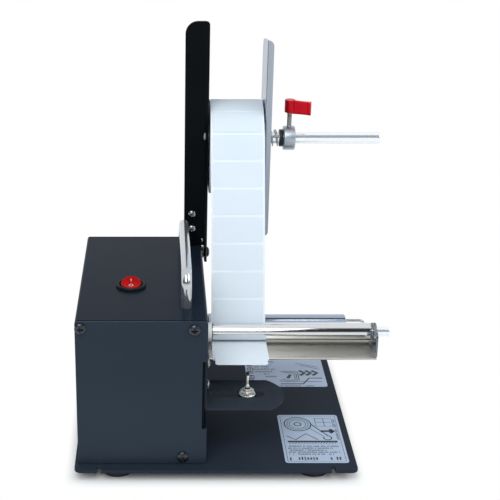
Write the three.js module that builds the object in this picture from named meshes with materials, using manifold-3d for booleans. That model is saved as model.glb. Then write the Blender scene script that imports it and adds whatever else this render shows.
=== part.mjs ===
import * as THREE from "three";
import Module from "manifold-3d";
import { mergeVertices } from "three/addons/utils/BufferGeometryUtils.js";

// Label dispenser machine, in millimetres, +Z up.
// Built with x from the base plate's left edge, y from its front edge and z from its top face,
// then set down with the middle of its footprint at the origin and its feet at z 0.

const wasm = await Module();
wasm.setup();

// Fits and paper
const gap = 0.3;
const overrun = 2;
const paper = 0.5;

// Base plate
const baseWidth = 213.7;
const baseDepth = 200;
const baseThick = 2.5;
const baseCorner = 5;
const slitWidth = 3;
const slitDepth = 6;
const slitInset = 18.7;

// Rubber feet
const footRadius = 13.2;
const footTaper = 1.2;
const footHeight = 8;
const footInset = 32;
const footSetback = 19;
const footPinRadius = 2;

// Case
const sheet = 1.5;
const caseInset = 2.6;
const caseSetback = 9.3;
const caseWidth = 96.8;
const caseDepth = 172;
const caseHeight = 118.5;
const caseCorner = 2;
const caseFlange = 24;
const notchLow = 30;
const notchHigh = 86;
const notchDepth = 3.7;
const ventWidth = 3;
const ventPitch = 9;
const ventHeight = 30;
const ventCount = 6;
const wallPlate = 3;

// Panel screws
const screwHeadRadius = 4.15;
const postScrewHeadRadius = 3;
const screwHeadHeight = 2.4;
const screwShankRadius = 2;
const screwShankLength = 8;
const tabSize = 12;
const topScrewInset = 4.1;
const topScrewDrop = 5.2;
const rightScrewInset = 9.8;
const rightScrewDrop = 6.5;
const lowScrewInset = 17.8;
const lowScrewRise = 6.6;

// Rocker switch
const switchInset = 39.6;
const switchSetback = 65.35;
const bezelRadius = 11.65;
const bezelHeight = 2;
const switchBodyRadius = 9.9;
const switchBodyDepth = 18;
const switchWall = 1.2;
const rockerSink = 1.7;
const rockerRise = 2.1;
const rockerDish = 1.2;
const rockerDishRadius = 31;
const rockerDepth = 4;
const rockerTilt = 12;

// Carry handle
const handleRodRadius = 4;
const handleInset = 15.4;
const handleSetback = 26.5;
const handleSpan = 116;
const handleRise = 29;
const handleBend = 10;
const handleLegDrop = 12;
const handleNutHeight = 6;
const handleNutRadius = 8;

// Power inlet
const inletInset = 30;
const inletHeight = 25;
const inletRadius = 5;
const inletFlange = 6.5;
const inletLip = 2;
const inletDepth = 14;
const inletBore = 3.2;
const inletPin = 1;

// Roll support plate
const supportOffset = 2.6;
const supportThick = 2;
const supportFlange = 19.5;
const supportCorner = 10;
const supportSlope = 40;
const supportLap = 16.5;
const supportTop = 306.5;
const plateFrontReach = 23.3;
const plateDepth = 46;
const postThick = 2;
const postHeight = 36;
const postFoot = 14;
const postInset = 1.5;
const postScrewInset = 6.4;
const postScrewRise = 15.5;
const postScrewPitch = 13;
const sideScrewRun = 15;
const sideScrewDrop = 11.5;
const spacerRadius = 5;

// Spindle and label roll
const spindleRadius = 5;
const spindleSetback = 183.3;
const spindleHeight = 205.5;
const spindleReach = 142.9;
const spindleTail = 10;
const spindleShoulder = 8;
const shoulderThick = 0.7;
const spindleNutLength = 6;
const spindleNutRadius = 9;
const labelWidth = 40;
const linerMargin = 1.5;
const labelCorner = 2;
const rollRadius = 39;
const coreBore = 12.7;
const coreWall = 3.5;

// Sliding guide
const guideClearance = 1.2;
const guideThick = 1.5;
const guideFlange = 5;
const guideAbove = 85.7;
const guideBelow = 78;
const guideCorner = 12;
const guideSlope = 7;
const guideFlangeCorner = 3.5;
const springRoom = 12.2;
const springRadius = 6.6;
const springWire = 1.2;
const springTurns = 3;
const seatLength = 2.9;
const seatRadius = 7.2;
const collarRadius = 10;
const collarLength = 9.6;
const studRadius = 2;
const studRise = 9.5;
const studGrip = 3;
const hubRadius = 4.3;
const hubHeight = 13;
const hubBore = 7;
const wingReach = 18.5;
const wingHeight = 11.7;
const wingThick = 5;
const leverTurn = 12;

// Stripper plate and tension roller
const stripperTop = 68;
const stripperThick = 1.5;
const stripperSetback = 51.3;
const stripperDepth = 46;
const stripperLength = 133.8;
const earThick = 2;
const earInset = 9.8;
const earTail = 7;
const earCorner = 4;
const earBack = 7;
const earSkirt = 3;
const rollerRadius = 7;
const rollerSetback = 31;
const rollerLeftSpace = 3.8;
const rollerRightSpace = 0.9;
const axleRadius = 4;
const axleTail = 12;
const clipRadius = 7;
const clipThick = 1.2;
const labelLead = 39.3;

// Take-up spindle and its drive
const takeupSetback = 138;
const takeupHeight = 50;
const takeupRadius = 14;
const takeupOffset = 2.6;
const takeupLength = 117.5;
const takeupShaft = 5;
const bushWall = 3;
const bushFlange = 2;
const clipWire = 2.5;
const clipReach = 16.5;
const clipDrop = 18;
const clipBend = 4;
const clipInset = 69;
const clipLean = 20;
const gearModule = 1.25;
const gearTeeth = 32;
const pinionTeeth = 16;
const gearWidth = 8;
const gearInset = 6.6;
const backlash = 0.4;
const motorRadius = 18.5;
const motorLength = 50;
const motorShaft = 3;
const motorBore = 8;
const bracketThick = 2;
const bracketFoot = 14;
const bracketMargin = 3;
const bracketSpace = 7.7;

// Control board
const boardWidth = 38;
const boardDepth = 54;
const boardThick = 1.6;
const boardInset = 31;
const boardSetback = 16;
const standoffHeight = 6;
const standoffRadius = 3;
const capHeight = 14;
const capRadius = 5;
const plugBlock = 9;

// Sensor arm and sensor
const armSetback = 15.8;
const armWidth = 45.5;
const armReach = 60.1;
const armThick = 1.5;
const armTop = 44;
const armEndRadius = 27.5;
const armTravelForward = 25;
const armTravelBack = 8;
const armRunout = 2.7;
const legClearance = 2;
const slotWidth = 9.7;
const slotLength = 41.8;
const slotInset = 3;
const clampSetback = 30;
const clampLow = 56;
const clampPitch = 18;
const sensorInset = 31.9;
const barrelRadius = 3;
const barrelRise = 5;
const sensorBodyWidth = 13;
const sensorBodyDepth = 8;
const sensorBodyHeight = 10;
const sensorNutRadius = 5.9;
const sensorNutHeight = 3.2;
const pinRadius = 1.1;
const pinBallRadius = 1.6;
const pinLength = 9.4;
const tipRadius = 1.4;

// Stickers on the base plate
const stickerThick = 0.2;
const frontStickerWidth = 48.5;
const frontStickerDepth = 73.1;
const frontStickerInset = 5.4;
const frontStickerSetback = 10.5;
const rearStickerWidth = 68.3;
const rearStickerDepth = 56;
const rearStickerInset = 5.9;
const rearStickerSetback = 132;

// Places that follow from the sizes
const caseLeft = caseInset;
const caseRight = caseLeft + caseWidth;
const caseFront = caseSetback;
const caseBack = caseFront + caseDepth;
const coverFront = caseFront + sheet + gap;
const coverBack = caseBack - sheet - gap;
const coverBottom = gap;
const plateOuter = caseRight - sheet - gap;
const plateInner = plateOuter - wallPlate;
const supportInner = caseRight + supportOffset;
const supportOuter = supportInner + supportThick;
const supportBottom = caseHeight - supportLap;
const plateFront = spindleSetback - plateFrontReach;
const plateRear = plateFront + plateDepth;
const linerWidth = labelWidth + 2 * linerMargin;
const rollLeft = supportOuter + gap + shoulderThick + gap;
const rollRight = rollLeft + linerWidth;
const rollDrop = coreBore - spindleRadius - gap;
const rollCentre = [spindleSetback, spindleHeight - rollDrop];
const guideLeft = rollRight + guideClearance;
const seatLeft = guideLeft + guideThick + springRoom;
const collarLeft = seatLeft + seatLength + gap;
const stripperBottom = stripperTop - stripperThick;
const stripperLeft = caseRight + gap;
const stripperRight = stripperLeft + stripperLength;
const stripperRear = stripperSetback + stripperDepth;
const webLift = gap + paper / 2;
const rollerCentre = [stripperSetback + rollerSetback, stripperTop + 2 * webLift + rollerRadius];
const rollerLeft = stripperLeft + earThick + rollerLeftSpace;
const rollerRight = stripperRight - earThick - rollerRightSpace;
const takeupCentre = [takeupSetback, takeupHeight];
const takeupLeft = caseRight + takeupOffset;
const takeupRight = takeupLeft + takeupLength;
const gearRadius = gearModule * gearTeeth / 2;
const pinionRadius = gearModule * pinionTeeth / 2;
const gearRight = plateInner - gearInset;
const gearLeft = gearRight - gearWidth;
const pinionCentre = [takeupSetback - gearRadius - pinionRadius - backlash, takeupHeight];
const bracketRight = gearLeft - bracketSpace;
const bracketLeft = bracketRight - bracketThick;
const motorFace = bracketLeft - gap;
const armLeft = plateOuter + gap;
const armRight = caseRight + armReach;
const armMiddle = armSetback + armWidth / 2;
const armRear = armSetback + armWidth;
const wallSlotEnd = armRear + armTravelBack + armRunout;
const sensorPlace = caseRight + sensorInset;
const handlePlace = caseRight - handleInset;
const handleFront = caseFront + handleSetback;

// Numbers of facets
const roundFacets = 18;
const fineFacets = 32;
const smallFacets = 10;
const dishFacets = 72;
const cornerFacets = 4;

// Tools for making solids

function solidOf(geometry) {
  geometry.deleteAttribute("normal");
  geometry.deleteAttribute("uv");
  const merged = mergeVertices(geometry);
  const corners = merged.index.array;
  const faces = [];
  for (let i = 0; i < corners.length; i += 3) {
    const [a, b, c] = corners.slice(i, i + 3);
    if (a !== b && b !== c && c !== a) faces.push(a, b, c);
  }
  const points = Float32Array.from(merged.attributes.position.array);
  const triangles = Uint32Array.from(faces);
  return new wasm.Manifold(new wasm.Mesh({ numProp: 3, vertProperties: points, triVerts: triangles }));
}

function joined(first, ...others) {
  return others.reduce((whole, other) => whole.add(other), first);
}

function cut(first, ...others) {
  return others.reduce((whole, other) => whole.subtract(other), first);
}

function block(x0, x1, y0, y1, z0, z1) {
  const box = new THREE.BoxGeometry(x1 - x0, y1 - y0, z1 - z0);
  return solidOf(box.translate((x0 + x1) / 2, (y0 + y1) / 2, (z0 + z1) / 2));
}

// A profile of [radius, height] pairs turned about the axis along, which passes through centre
function turned(profile, along, centre = [0, 0], facets = roundFacets) {
  const points = profile.map(([radius, height]) => new THREE.Vector2(radius, height));
  const shape = new THREE.LatheGeometry(points, facets);
  const [first, second] = centre;
  if (along === "z") shape.rotateX(Math.PI / 2).translate(first, second, 0);
  if (along === "y") shape.translate(first, 0, second);
  if (along === "x") shape.rotateZ(-Math.PI / 2).translate(0, first, second);
  return solidOf(shape);
}

function rod(radius, from, to, along, centre, facets = roundFacets) {
  return turned([[0, from], [radius, from], [radius, to], [0, to]], along, centre, facets);
}

function ring(inner, outer, from, to, along, centre, facets = roundFacets) {
  const profile = [[inner, from], [outer, from], [outer, to], [inner, to], [inner, from]];
  return turned(profile, along, centre, facets);
}

function hexNut(radius, bore, from, to, along, centre) {
  const sides = 6;
  const hole = rod(bore, from - overrun, to + overrun, along, centre, smallFacets);
  return rod(radius, from, to, along, centre, sides).subtract(hole);
}

// An outline extruded square to its plane, where plane is xy, yz or xz
function slab(shape, plane, from, to, curveSegments = cornerFacets) {
  const flat = new THREE.ExtrudeGeometry(shape, { depth: to - from, bevelEnabled: false, curveSegments });
  const axes = new THREE.Matrix4();
  const [x, y, z] = [new THREE.Vector3(1, 0, 0), new THREE.Vector3(0, 1, 0), new THREE.Vector3(0, 0, 1)];
  if (plane === "xy") axes.setPosition(0, 0, from);
  if (plane === "yz") axes.makeBasis(y, z, x).setPosition(from, 0, 0);
  if (plane === "xz") axes.makeBasis(x, z, y.negate()).setPosition(0, to, 0);
  return solidOf(flat.applyMatrix4(axes));
}

// A rectangle with a corner radius each for lower left, lower right, upper right and upper left
function roundedOutline(u0, u1, v0, v1, [r0, r1, r2, r3]) {
  const shape = new THREE.Shape();
  const right = Math.PI / 2;
  shape.moveTo(u0 + r0, v0);
  shape.lineTo(u1 - r1, v0);
  if (r1) shape.absarc(u1 - r1, v0 + r1, r1, -right, 0, false);
  shape.lineTo(u1, v1 - r2);
  if (r2) shape.absarc(u1 - r2, v1 - r2, r2, 0, right, false);
  shape.lineTo(u0 + r3, v1);
  if (r3) shape.absarc(u0 + r3, v1 - r3, r3, right, 2 * right, false);
  shape.lineTo(u0, v0 + r0);
  if (r0) shape.absarc(u0 + r0, v0 + r0, r0, 2 * right, 3 * right, false);
  return shape;
}

// What lies over a slope that falls from one point of an outline to another, out to the overrun
function overSlope(u0, u1, top, drop) {
  const shape = new THREE.Shape();
  const fall = drop * (u1 + overrun - u0) / (u1 - u0);
  shape.moveTo(u0, top);
  shape.lineTo(u1 + overrun, top - fall);
  shape.lineTo(u1 + overrun, top + overrun);
  shape.lineTo(u0, top + overrun);
  return shape;
}

// A curve that passes through given stations, each a point and a direction
class StationCurve extends THREE.Curve {
  constructor(stations) {
    super();
    this.stations = stations;
  }
  station(t) {
    return this.stations[Math.round(t * (this.stations.length - 1))];
  }
  getPoint(t) {
    return this.station(t).point.clone();
  }
  getPointAt(t) {
    return this.getPoint(t);
  }
  getTangentAt(t) {
    return this.station(t).direction.clone().normalize();
  }
}

function tubeAlong(stations, radius, sides) {
  const section = new THREE.Shape();
  for (let i = 0; i < sides; i++) {
    const angle = 2 * Math.PI * i / sides;
    const [u, v] = [radius * Math.cos(angle), radius * Math.sin(angle)];
    if (i) section.lineTo(u, v);
    else section.moveTo(u, v);
  }
  const extrudePath = new StationCurve(stations);
  const steps = stations.length - 1;
  return solidOf(new THREE.ExtrudeGeometry(section, { steps, extrudePath, bevelEnabled: false }));
}

// Stations of a bend, turned from one direction to a square one about a given corner
function bendStations(corner, from, to, radius, steps) {
  const stations = [];
  for (let i = 0; i <= steps; i++) {
    const angle = Math.PI / 2 * i / steps;
    const direction = from.clone().multiplyScalar(Math.cos(angle)).addScaledVector(to, Math.sin(angle));
    const point = corner.clone().addScaledVector(from, -radius + radius * Math.sin(angle));
    point.addScaledVector(to, radius - radius * Math.cos(angle));
    stations.push({ point, direction });
  }
  return stations;
}

// The straight run of a strip from one round to the next, passing on opposite sides of the two
function crossTangent([y1, z1], r1, [y2, z2], r2) {
  const distance = Math.hypot(y2 - y1, z2 - z1);
  const [ey, ez] = [(y2 - y1) / distance, (z2 - z1) / distance];
  const cosine = (r1 + r2) / distance;
  const sine = Math.sqrt(1 - cosine * cosine);
  return Math.atan2(ez * cosine - ey * sine, ey * cosine + ez * sine);
}

function arcPoints([y, z], radius, from, to, steps) {
  const points = [];
  for (let i = 0; i <= steps; i++) {
    const angle = from + (to - from) * i / steps;
    points.push([y + radius * Math.cos(angle), z + radius * Math.sin(angle)]);
  }
  return points;
}

// A strip of paper along a path in the plane across the machine
function strip(path, from, to) {
  const sides = [-1, 1].map((side) => path.map(([y, z], i) => {
    const [y0, z0] = path[Math.max(i - 1, 0)];
    const [y1, z1] = path[Math.min(i + 1, path.length - 1)];
    const length = Math.hypot(y1 - y0, z1 - z0);
    const offset = side * paper / 2;
    return new THREE.Vector2(y - offset * (z1 - z0) / length, z + offset * (y1 - y0) / length);
  }));
  const shape = new THREE.Shape([...sides[0], ...sides[1].reverse()]);
  return slab(shape, "yz", from, to);
}

function finish(color, roughness, metalness) {
  return new THREE.MeshStandardMaterial({ color, roughness, metalness });
}

const machine = new THREE.Group();

function add(name, solid, material, place = [0, 0, 0], turn = [0, 0, 0]) {
  const made = solid.getMesh();
  const geometry = new THREE.BufferGeometry();
  geometry.setAttribute("position", new THREE.BufferAttribute(made.vertProperties, made.numProp));
  geometry.setIndex(new THREE.BufferAttribute(made.triVerts, 1));
  geometry.computeVertexNormals();
  const mesh = new THREE.Mesh(geometry, material);
  mesh.name = name;
  mesh.position.set(...place);
  mesh.rotation.set(...turn);
  machine.add(mesh);
}

const quarter = Math.PI / 2;
const facingFront = [quarter, 0, 0];
const facingRight = [0, quarter, 0];

// A pan head screw with a cross recess, its head towards +Z and its underside at z 0
function panScrew(headRadius, shankLength) {
  const crownShare = 0.7;
  const rimShare = 0.5;
  const recessShare = 0.6;
  const bladeShare = 0.13;
  const profile = [
    [0, -shankLength],
    [screwShankRadius, -shankLength],
    [screwShankRadius, 0],
    [headRadius, 0],
    [headRadius, screwHeadHeight * rimShare],
    [headRadius * crownShare, screwHeadHeight],
    [0, screwHeadHeight],
  ];
  const arm = headRadius * recessShare;
  const blade = headRadius * bladeShare;
  const floor = screwHeadHeight * rimShare;
  const roof = screwHeadHeight + overrun;
  const across = block(-arm, arm, -blade, blade, floor, roof);
  const along = block(-blade, blade, -arm, arm, floor, roof);
  return turned(profile, "z", [0, 0], smallFacets).subtract(across.add(along));
}

// Base plate of powder-coated steel, with two slits in its front edge
function basePlate() {
  const radii = [baseCorner, baseCorner, baseCorner, baseCorner];
  const outline = roundedOutline(0, baseWidth, 0, baseDepth, radii);
  let plate = slab(outline, "xy", -baseThick, 0);
  for (const x of [slitInset, baseWidth - slitInset]) {
    const half = slitWidth / 2;
    plate = plate.subtract(block(x - half, x + half, -overrun, slitDepth, -baseThick - overrun, overrun));
  }
  for (const [x, y] of footPlaces()) {
    const bore = footPinRadius + gap;
    plate = plate.subtract(rod(bore, -baseThick - overrun, overrun, "z", [x, y], smallFacets));
  }
  return plate;
}

function footPlaces() {
  const [left, right] = [footInset, baseWidth - footInset];
  const [front, rear] = [footSetback, baseDepth - footSetback];
  return [[left, front], [right, front], [left, rear], [right, rear]];
}

function foot() {
  const top = -baseThick - gap;
  const floor = -baseThick - footHeight;
  const profile = [
    [0, floor],
    [footRadius - footTaper, floor],
    [footRadius, top - footTaper],
    [footRadius, top],
    [footPinRadius, top],
    [footPinRadius, -gap],
    [0, -gap],
  ];
  return turned(profile, "z");
}

const blackCoat = 0x2b3440;
add("base_plate", basePlate(), finish(0x28303a, 0.55, 0.2));
const footNames = ["foot_front_left", "foot_front_right", "foot_rear_left", "foot_rear_right"];
footPlaces().forEach(([x, y], i) => add(footNames[i], foot(), finish(0x141414, 0.9, 0), [x, y, 0]));

// Case: a folded cover with turned-in flanges, a front panel and a rear panel
const frontScrews = [
  ["panel_screw_left", caseLeft + topScrewInset, caseHeight - topScrewDrop],
  ["panel_screw_right", caseRight - rightScrewInset, caseHeight - rightScrewDrop],
  ["panel_screw_low", caseRight - lowScrewInset, lowScrewRise],
];
const sideScrewPlace = [plateFront + sideScrewRun, caseHeight - sideScrewDrop];
const frontScrewPlaces = frontScrews.map(([, x, z]) => [x, z]);
const clampPlaces = [[clampSetback, clampLow], [clampSetback, clampLow + clampPitch]];

function caseOutline(bottom) {
  return roundedOutline(caseLeft, caseRight, bottom, caseHeight, [0, 0, caseCorner, caseCorner]);
}

function screwHoles(along, from, to, places) {
  const bore = screwShankRadius + gap;
  return places.map((place) => rod(bore, from, to, along, place, smallFacets));
}

function caseCover() {
  const outer = slab(caseOutline(coverBottom), "xz", coverFront, coverBack);
  const [inLeft, inRight] = [caseLeft + sheet, caseRight - sheet];
  const hollow = block(
    inLeft, inRight, coverFront - overrun, coverBack + overrun, coverBottom + sheet, caseHeight - sheet,
  );
  const mouth = block(
    inLeft + caseFlange, inRight - caseFlange, coverFront - overrun, coverBack + overrun,
    coverBottom - overrun, coverBottom + sheet + overrun,
  );
  const half = tabSize / 2;
  const tabs = frontScrews.map(([, x, z]) =>
    block(x - half, x + half, coverFront, coverFront + sheet, z - half, z + half).intersect(outer));
  const wallSlot = block(
    plateOuter, caseRight + overrun, coverFront - overrun, wallSlotEnd, notchLow, notchHigh,
  );
  const [wallIn, wallOut] = [plateOuter, caseRight + overrun];
  const [roofIn, roofOut] = [caseHeight - sheet - overrun, caseHeight + overrun];
  const handleBore = handleRodRadius + gap;
  return cut(
    joined(cut(outer, hollow, mouth), ...tabs),
    wallSlot,
    rod(switchBodyRadius + gap, roofIn, roofOut, "z", switchCentre),
    rod(handleBore, roofIn, roofOut, "z", [handlePlace, handleFront], smallFacets),
    rod(handleBore, roofIn, roofOut, "z", [handlePlace, handleFront + handleSpan], smallFacets),
    rod(takeupShaft + gap, wallIn, wallOut, "x", takeupCentre),
    rod(axleRadius + gap, wallIn, wallOut, "x", rollerCentre),
    ...screwHoles("x", wallIn, wallOut, [sideScrewPlace]),
    ...screwHoles("y", coverFront - overrun, coverFront + sheet + overrun, frontScrewPlaces),
  );
}

const switchCentre = [caseLeft + switchInset, caseFront + switchSetback];

function frontPanel() {
  const [front, rear] = [caseFront - overrun, caseFront + sheet + overrun];
  const notch = block(caseRight - notchDepth, caseRight + overrun, front, rear, notchLow, notchHigh);
  const holes = screwHoles("y", front, rear, frontScrewPlaces);
  return cut(slab(caseOutline(gap), "xz", caseFront, caseFront + sheet), notch, ...holes);
}

const inletPlace = [caseLeft + inletInset, inletHeight];

function rearPanel() {
  const [front, rear] = [caseBack - sheet - overrun, caseBack + overrun];
  const vents = [];
  for (let i = 0; i < ventCount; i++) {
    const x = caseRight - caseFlange - ventPitch * i;
    vents.push(block(x, x + ventWidth, front, rear, notchHigh - ventHeight, notchHigh));
  }
  const inlet = rod(inletRadius + gap, front, rear, "y", inletPlace, smallFacets);
  return cut(slab(caseOutline(gap), "xz", caseBack - sheet, caseBack), inlet, ...vents);
}

// The thick inner plate behind the case's right wall, which carries the shafts
function sidePlate() {
  const plate = block(
    plateInner, plateOuter, coverFront + sheet + gap, coverBack - gap,
    coverBottom + sheet + gap, caseHeight - sheet - gap,
  );
  const [inner, outer] = [plateInner - overrun, plateOuter + overrun];
  return cut(
    plate,
    rod(takeupShaft + gap + bushWall + gap, inner, outer, "x", takeupCentre),
    rod(axleRadius + gap, inner, outer, "x", rollerCentre),
    ...screwHoles("x", inner, outer, [sideScrewPlace, ...clampPlaces]),
  );
}

add("case_cover", caseCover(), finish(blackCoat, 0.45, 0.25));
add("front_panel", frontPanel(), finish(blackCoat, 0.45, 0.25));
add("rear_panel", rearPanel(), finish(blackCoat, 0.45, 0.25));
add("side_plate", sidePlate(), finish(0x6a6e72, 0.5, 0.6));
for (const [name, x, z] of frontScrews) {
  const screw = panScrew(screwHeadRadius, screwShankLength);
  add(name, screw, finish(0x23272c, 0.35, 0.6), [x, caseFront - gap, z], facingFront);
}

// Round rocker switch in the case top, with its pivot across the machine
function switchBezel() {
  const under = caseHeight + gap;
  const top = under + bezelHeight;
  const floor = caseHeight - switchBodyDepth;
  const mouth = switchBodyRadius - switchWall;
  const profile = [
    [0, floor],
    [switchBodyRadius, floor],
    [switchBodyRadius, under],
    [bezelRadius, under],
    [bezelRadius, under + bezelHeight / 2],
    [bezelRadius - bezelHeight / 2, top],
    [mouth, top],
    [mouth, floor + switchWall],
    [0, floor + switchWall],
  ];
  return turned(profile, "z", switchCentre);
}

function switchRocker() {
  const radius = switchBodyRadius - switchWall - gap;
  const crownShares = [[1, 0], [0.93, 1], [0, 1]];
  const keelShares = [[0, -1], [0.86, -1], [0.96, -0.5]];
  const keel = keelShares.map(([r, h]) => [radius * r, rockerDepth * h]);
  const crown = crownShares.map(([r, h]) => [radius * r, (rockerRise + rockerDish) * h]);
  const dishCentre = [0, rockerRise + rockerDishRadius];
  const dish = rod(rockerDishRadius, -radius - overrun, radius + overrun, "x", dishCentre, dishFacets);
  return turned([...keel, ...crown], "z").subtract(dish);
}

const rockerPivot = caseHeight + gap + bezelHeight - rockerSink;
add("switch_bezel", switchBezel(), finish(0x101214, 0.4, 0));
add(
  "switch_rocker", switchRocker(), finish(0xb00d06, 0.3, 0),
  [...switchCentre, rockerPivot], [THREE.MathUtils.degToRad(rockerTilt), 0, 0],
);

// Carry handle of round bar, its two ends through the case top with a nut on each
function carryHandle() {
  const [up, back, down] = [[0, 0, 1], [0, 1, 0], [0, 0, -1]].map((v) => new THREE.Vector3(...v));
  const crest = caseHeight + handleRise - handleRodRadius;
  const foot = caseHeight - handleLegDrop;
  const frontCorner = new THREE.Vector3(handlePlace, handleFront, crest);
  const rearCorner = new THREE.Vector3(handlePlace, handleFront + handleSpan, crest);
  const steps = 5;
  const stations = [
    { point: new THREE.Vector3(handlePlace, handleFront, foot), direction: up },
    ...bendStations(frontCorner, up, back, handleBend, steps),
    ...bendStations(rearCorner, back, down, handleBend, steps),
    { point: new THREE.Vector3(handlePlace, handleFront + handleSpan, foot), direction: down },
  ];
  return tubeAlong(stations, handleRodRadius, smallFacets);
}

add("carry_handle", carryHandle(), finish(0xb9bcbe, 0.25, 1));
for (const [name, y] of [["handle_nut_front", handleFront], ["handle_nut_rear", handleFront + handleSpan]]) {
  const top = caseHeight - sheet - gap;
  const bore = handleRodRadius + gap;
  const nut = hexNut(handleNutRadius, bore, top - handleNutHeight, top, "z", [handlePlace, y]);
  add(name, nut, finish(0x9a9c9e, 0.35, 0.9));
}

// Power inlet in the rear panel, with its centre contact
function powerInlet() {
  const lip = caseBack + gap;
  const rear = lip + inletLip;
  const front = rear - inletDepth;
  const floor = front + inletLip;
  const profile = [
    [0, front],
    [inletRadius, front],
    [inletRadius, lip],
    [inletFlange, lip],
    [inletFlange, rear],
    [inletBore, rear],
    [inletBore, floor],
    [inletPin, floor],
    [inletPin, lip],
    [0, lip],
  ];
  return turned(profile, "y", inletPlace, smallFacets);
}

add("dc_socket", powerInlet(), finish(0x111214, 0.5, 0));

// Roll support: a tall folded plate beside the case and the post that holds its front flange
const flangeLeft = supportOuter - supportFlange;
const postScrewPlace = flangeLeft + postScrewInset;
const postScrewHeights = [0, 1].map((i) => caseHeight + postScrewRise + postScrewPitch * i);
const postScrewPlaces = postScrewHeights.map((z) => [postScrewPlace, z]);

function supportPlate() {
  const webRadii = [baseCorner, baseCorner, 0, 0];
  const webOutline = roundedOutline(plateFront, plateRear, supportBottom, supportTop, webRadii);
  const slope = overSlope(plateFront + supportThick, plateRear, supportTop, supportSlope);
  const flangeOutline = roundedOutline(
    flangeLeft, supportOuter, caseHeight + gap, supportTop, [0, 0, 0, supportCorner],
  );
  const [left, right] = [supportInner - overrun, supportOuter + overrun];
  const web = slab(webOutline, "yz", supportInner, supportOuter).subtract(slab(slope, "yz", left, right));
  const flange = slab(flangeOutline, "xz", plateFront, plateFront + supportThick);
  const [front, rear] = [plateFront - overrun, plateFront + supportThick + overrun];
  return cut(
    joined(web, flange),
    rod(spindleRadius + gap, left, right, "x", [spindleSetback, spindleHeight]),
    ...screwHoles("x", left, right, [sideScrewPlace]),
    ...screwHoles("y", front, rear, postScrewPlaces),
  );
}

function supportPost() {
  const [left, right] = [flangeLeft + postInset, supportInner - postInset];
  const [bottom, front] = [caseHeight + gap, plateFront + supportThick + gap];
  const upright = block(left, right, front, front + postThick, bottom, bottom + postHeight);
  const base = block(left, right, front, front + postFoot, bottom, bottom + postThick);
  const holes = screwHoles("y", front - overrun, front + postThick + overrun, postScrewPlaces);
  return cut(joined(upright, base), ...holes);
}

add("roll_support_plate", supportPlate(), finish(0x0e1215, 0.5, 0.2));
add("support_post", supportPost(), finish(0x0e1215, 0.5, 0.2));
postScrewPlaces.forEach(([x, z], i) => {
  const name = ["support_screw_low", "support_screw_high"][i];
  const screw = panScrew(postScrewHeadRadius, screwShankLength);
  add(name, screw, finish(0xc4c7c9, 0.25, 1), [x, plateFront - gap, z], facingFront);
});
const sideScrewLength = supportOuter + gap - plateInner;
add(
  "support_side_screw", panScrew(screwHeadRadius, sideScrewLength), finish(0x23272c, 0.35, 0.6),
  [supportOuter + gap, ...sideScrewPlace], facingRight,
);
add(
  "support_spacer",
  ring(screwShankRadius + gap, spacerRadius, caseRight + gap, supportInner - gap, "x", sideScrewPlace),
  finish(0x9a9c9e, 0.35, 0.9),
);

// Spindle, fixed through the support plate by a nut, and the label roll hanging on it
const spindleAxis = [spindleSetback, spindleHeight];

function rollSpindle() {
  const [tail, end] = [supportInner - spindleTail, supportOuter + spindleReach];
  const shoulder = supportOuter + gap;
  const chamfer = spindleRadius / 5;
  const profile = [
    [0, tail],
    [spindleRadius, tail],
    [spindleRadius, shoulder],
    [spindleShoulder, shoulder],
    [spindleShoulder, shoulder + shoulderThick],
    [spindleRadius, shoulder + shoulderThick],
    [spindleRadius, end - chamfer],
    [spindleRadius - chamfer, end],
    [0, end],
  ];
  return turned(profile, "x", spindleAxis);
}

const nutRight = supportInner - gap;
const coreOuter = coreBore + coreWall;
add("roll_spindle", rollSpindle(), finish(0xb4b7b9, 0.22, 1));
add(
  "spindle_nut",
  hexNut(spindleNutRadius, spindleRadius + gap, nutRight - spindleNutLength, nutRight, "x", spindleAxis),
  finish(0x9a9c9e, 0.35, 0.9),
);
add(
  "roll_core", ring(coreBore, coreOuter, rollLeft, rollRight, "x", rollCentre, fineFacets),
  finish(0xa98a63, 0.9, 0),
);
add(
  "label_roll", ring(coreOuter + gap, rollRadius, rollLeft, rollRight, "x", rollCentre, fineFacets),
  finish(0xe4ecf4, 0.6, 0),
);

// Sliding guide: a plate with a turned front edge, its spring, seat, collar and clamp lever
function guidePlate() {
  const [low, high] = [spindleHeight - guideBelow, spindleHeight + guideAbove];
  const webOutline = roundedOutline(plateFront, plateRear, low, high, [0, guideCorner, guideCorner, 0]);
  const corners = [0, guideFlangeCorner, guideFlangeCorner, 0];
  const flangeOutline = roundedOutline(guideLeft, guideLeft + guideFlange, low, high, corners);
  const [left, right] = [guideLeft - overrun, guideLeft + guideFlange];
  const slope = overSlope(plateFront + guideThick, plateRear, high, guideSlope);
  const fullWeb = slab(webOutline, "yz", guideLeft, guideLeft + guideThick);
  const web = fullWeb.subtract(slab(slope, "yz", left, right));
  const flange = slab(flangeOutline, "xz", plateFront, plateFront + guideThick);
  const bore = rod(spindleRadius + gap, left, right, "x", spindleAxis);
  return cut(joined(web, flange), bore);
}

const stepsPerTurn = 8;

function springStations() {
  const start = guideLeft + guideThick + gap + springWire / 2;
  const run = seatLeft - gap - springWire / 2 - start;
  const steps = springTurns * stepsPerTurn;
  const stations = [];
  for (let i = 0; i <= steps; i++) {
    const angle = 2 * Math.PI * i / stepsPerTurn;
    const [across, up] = [springRadius * Math.cos(angle), springRadius * Math.sin(angle)];
    const lead = run / (2 * Math.PI * springTurns);
    const point = new THREE.Vector3(start + lead * angle, spindleSetback + across, spindleHeight + up);
    stations.push({ point, direction: new THREE.Vector3(lead, -up, across) });
  }
  return stations;
}

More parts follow.
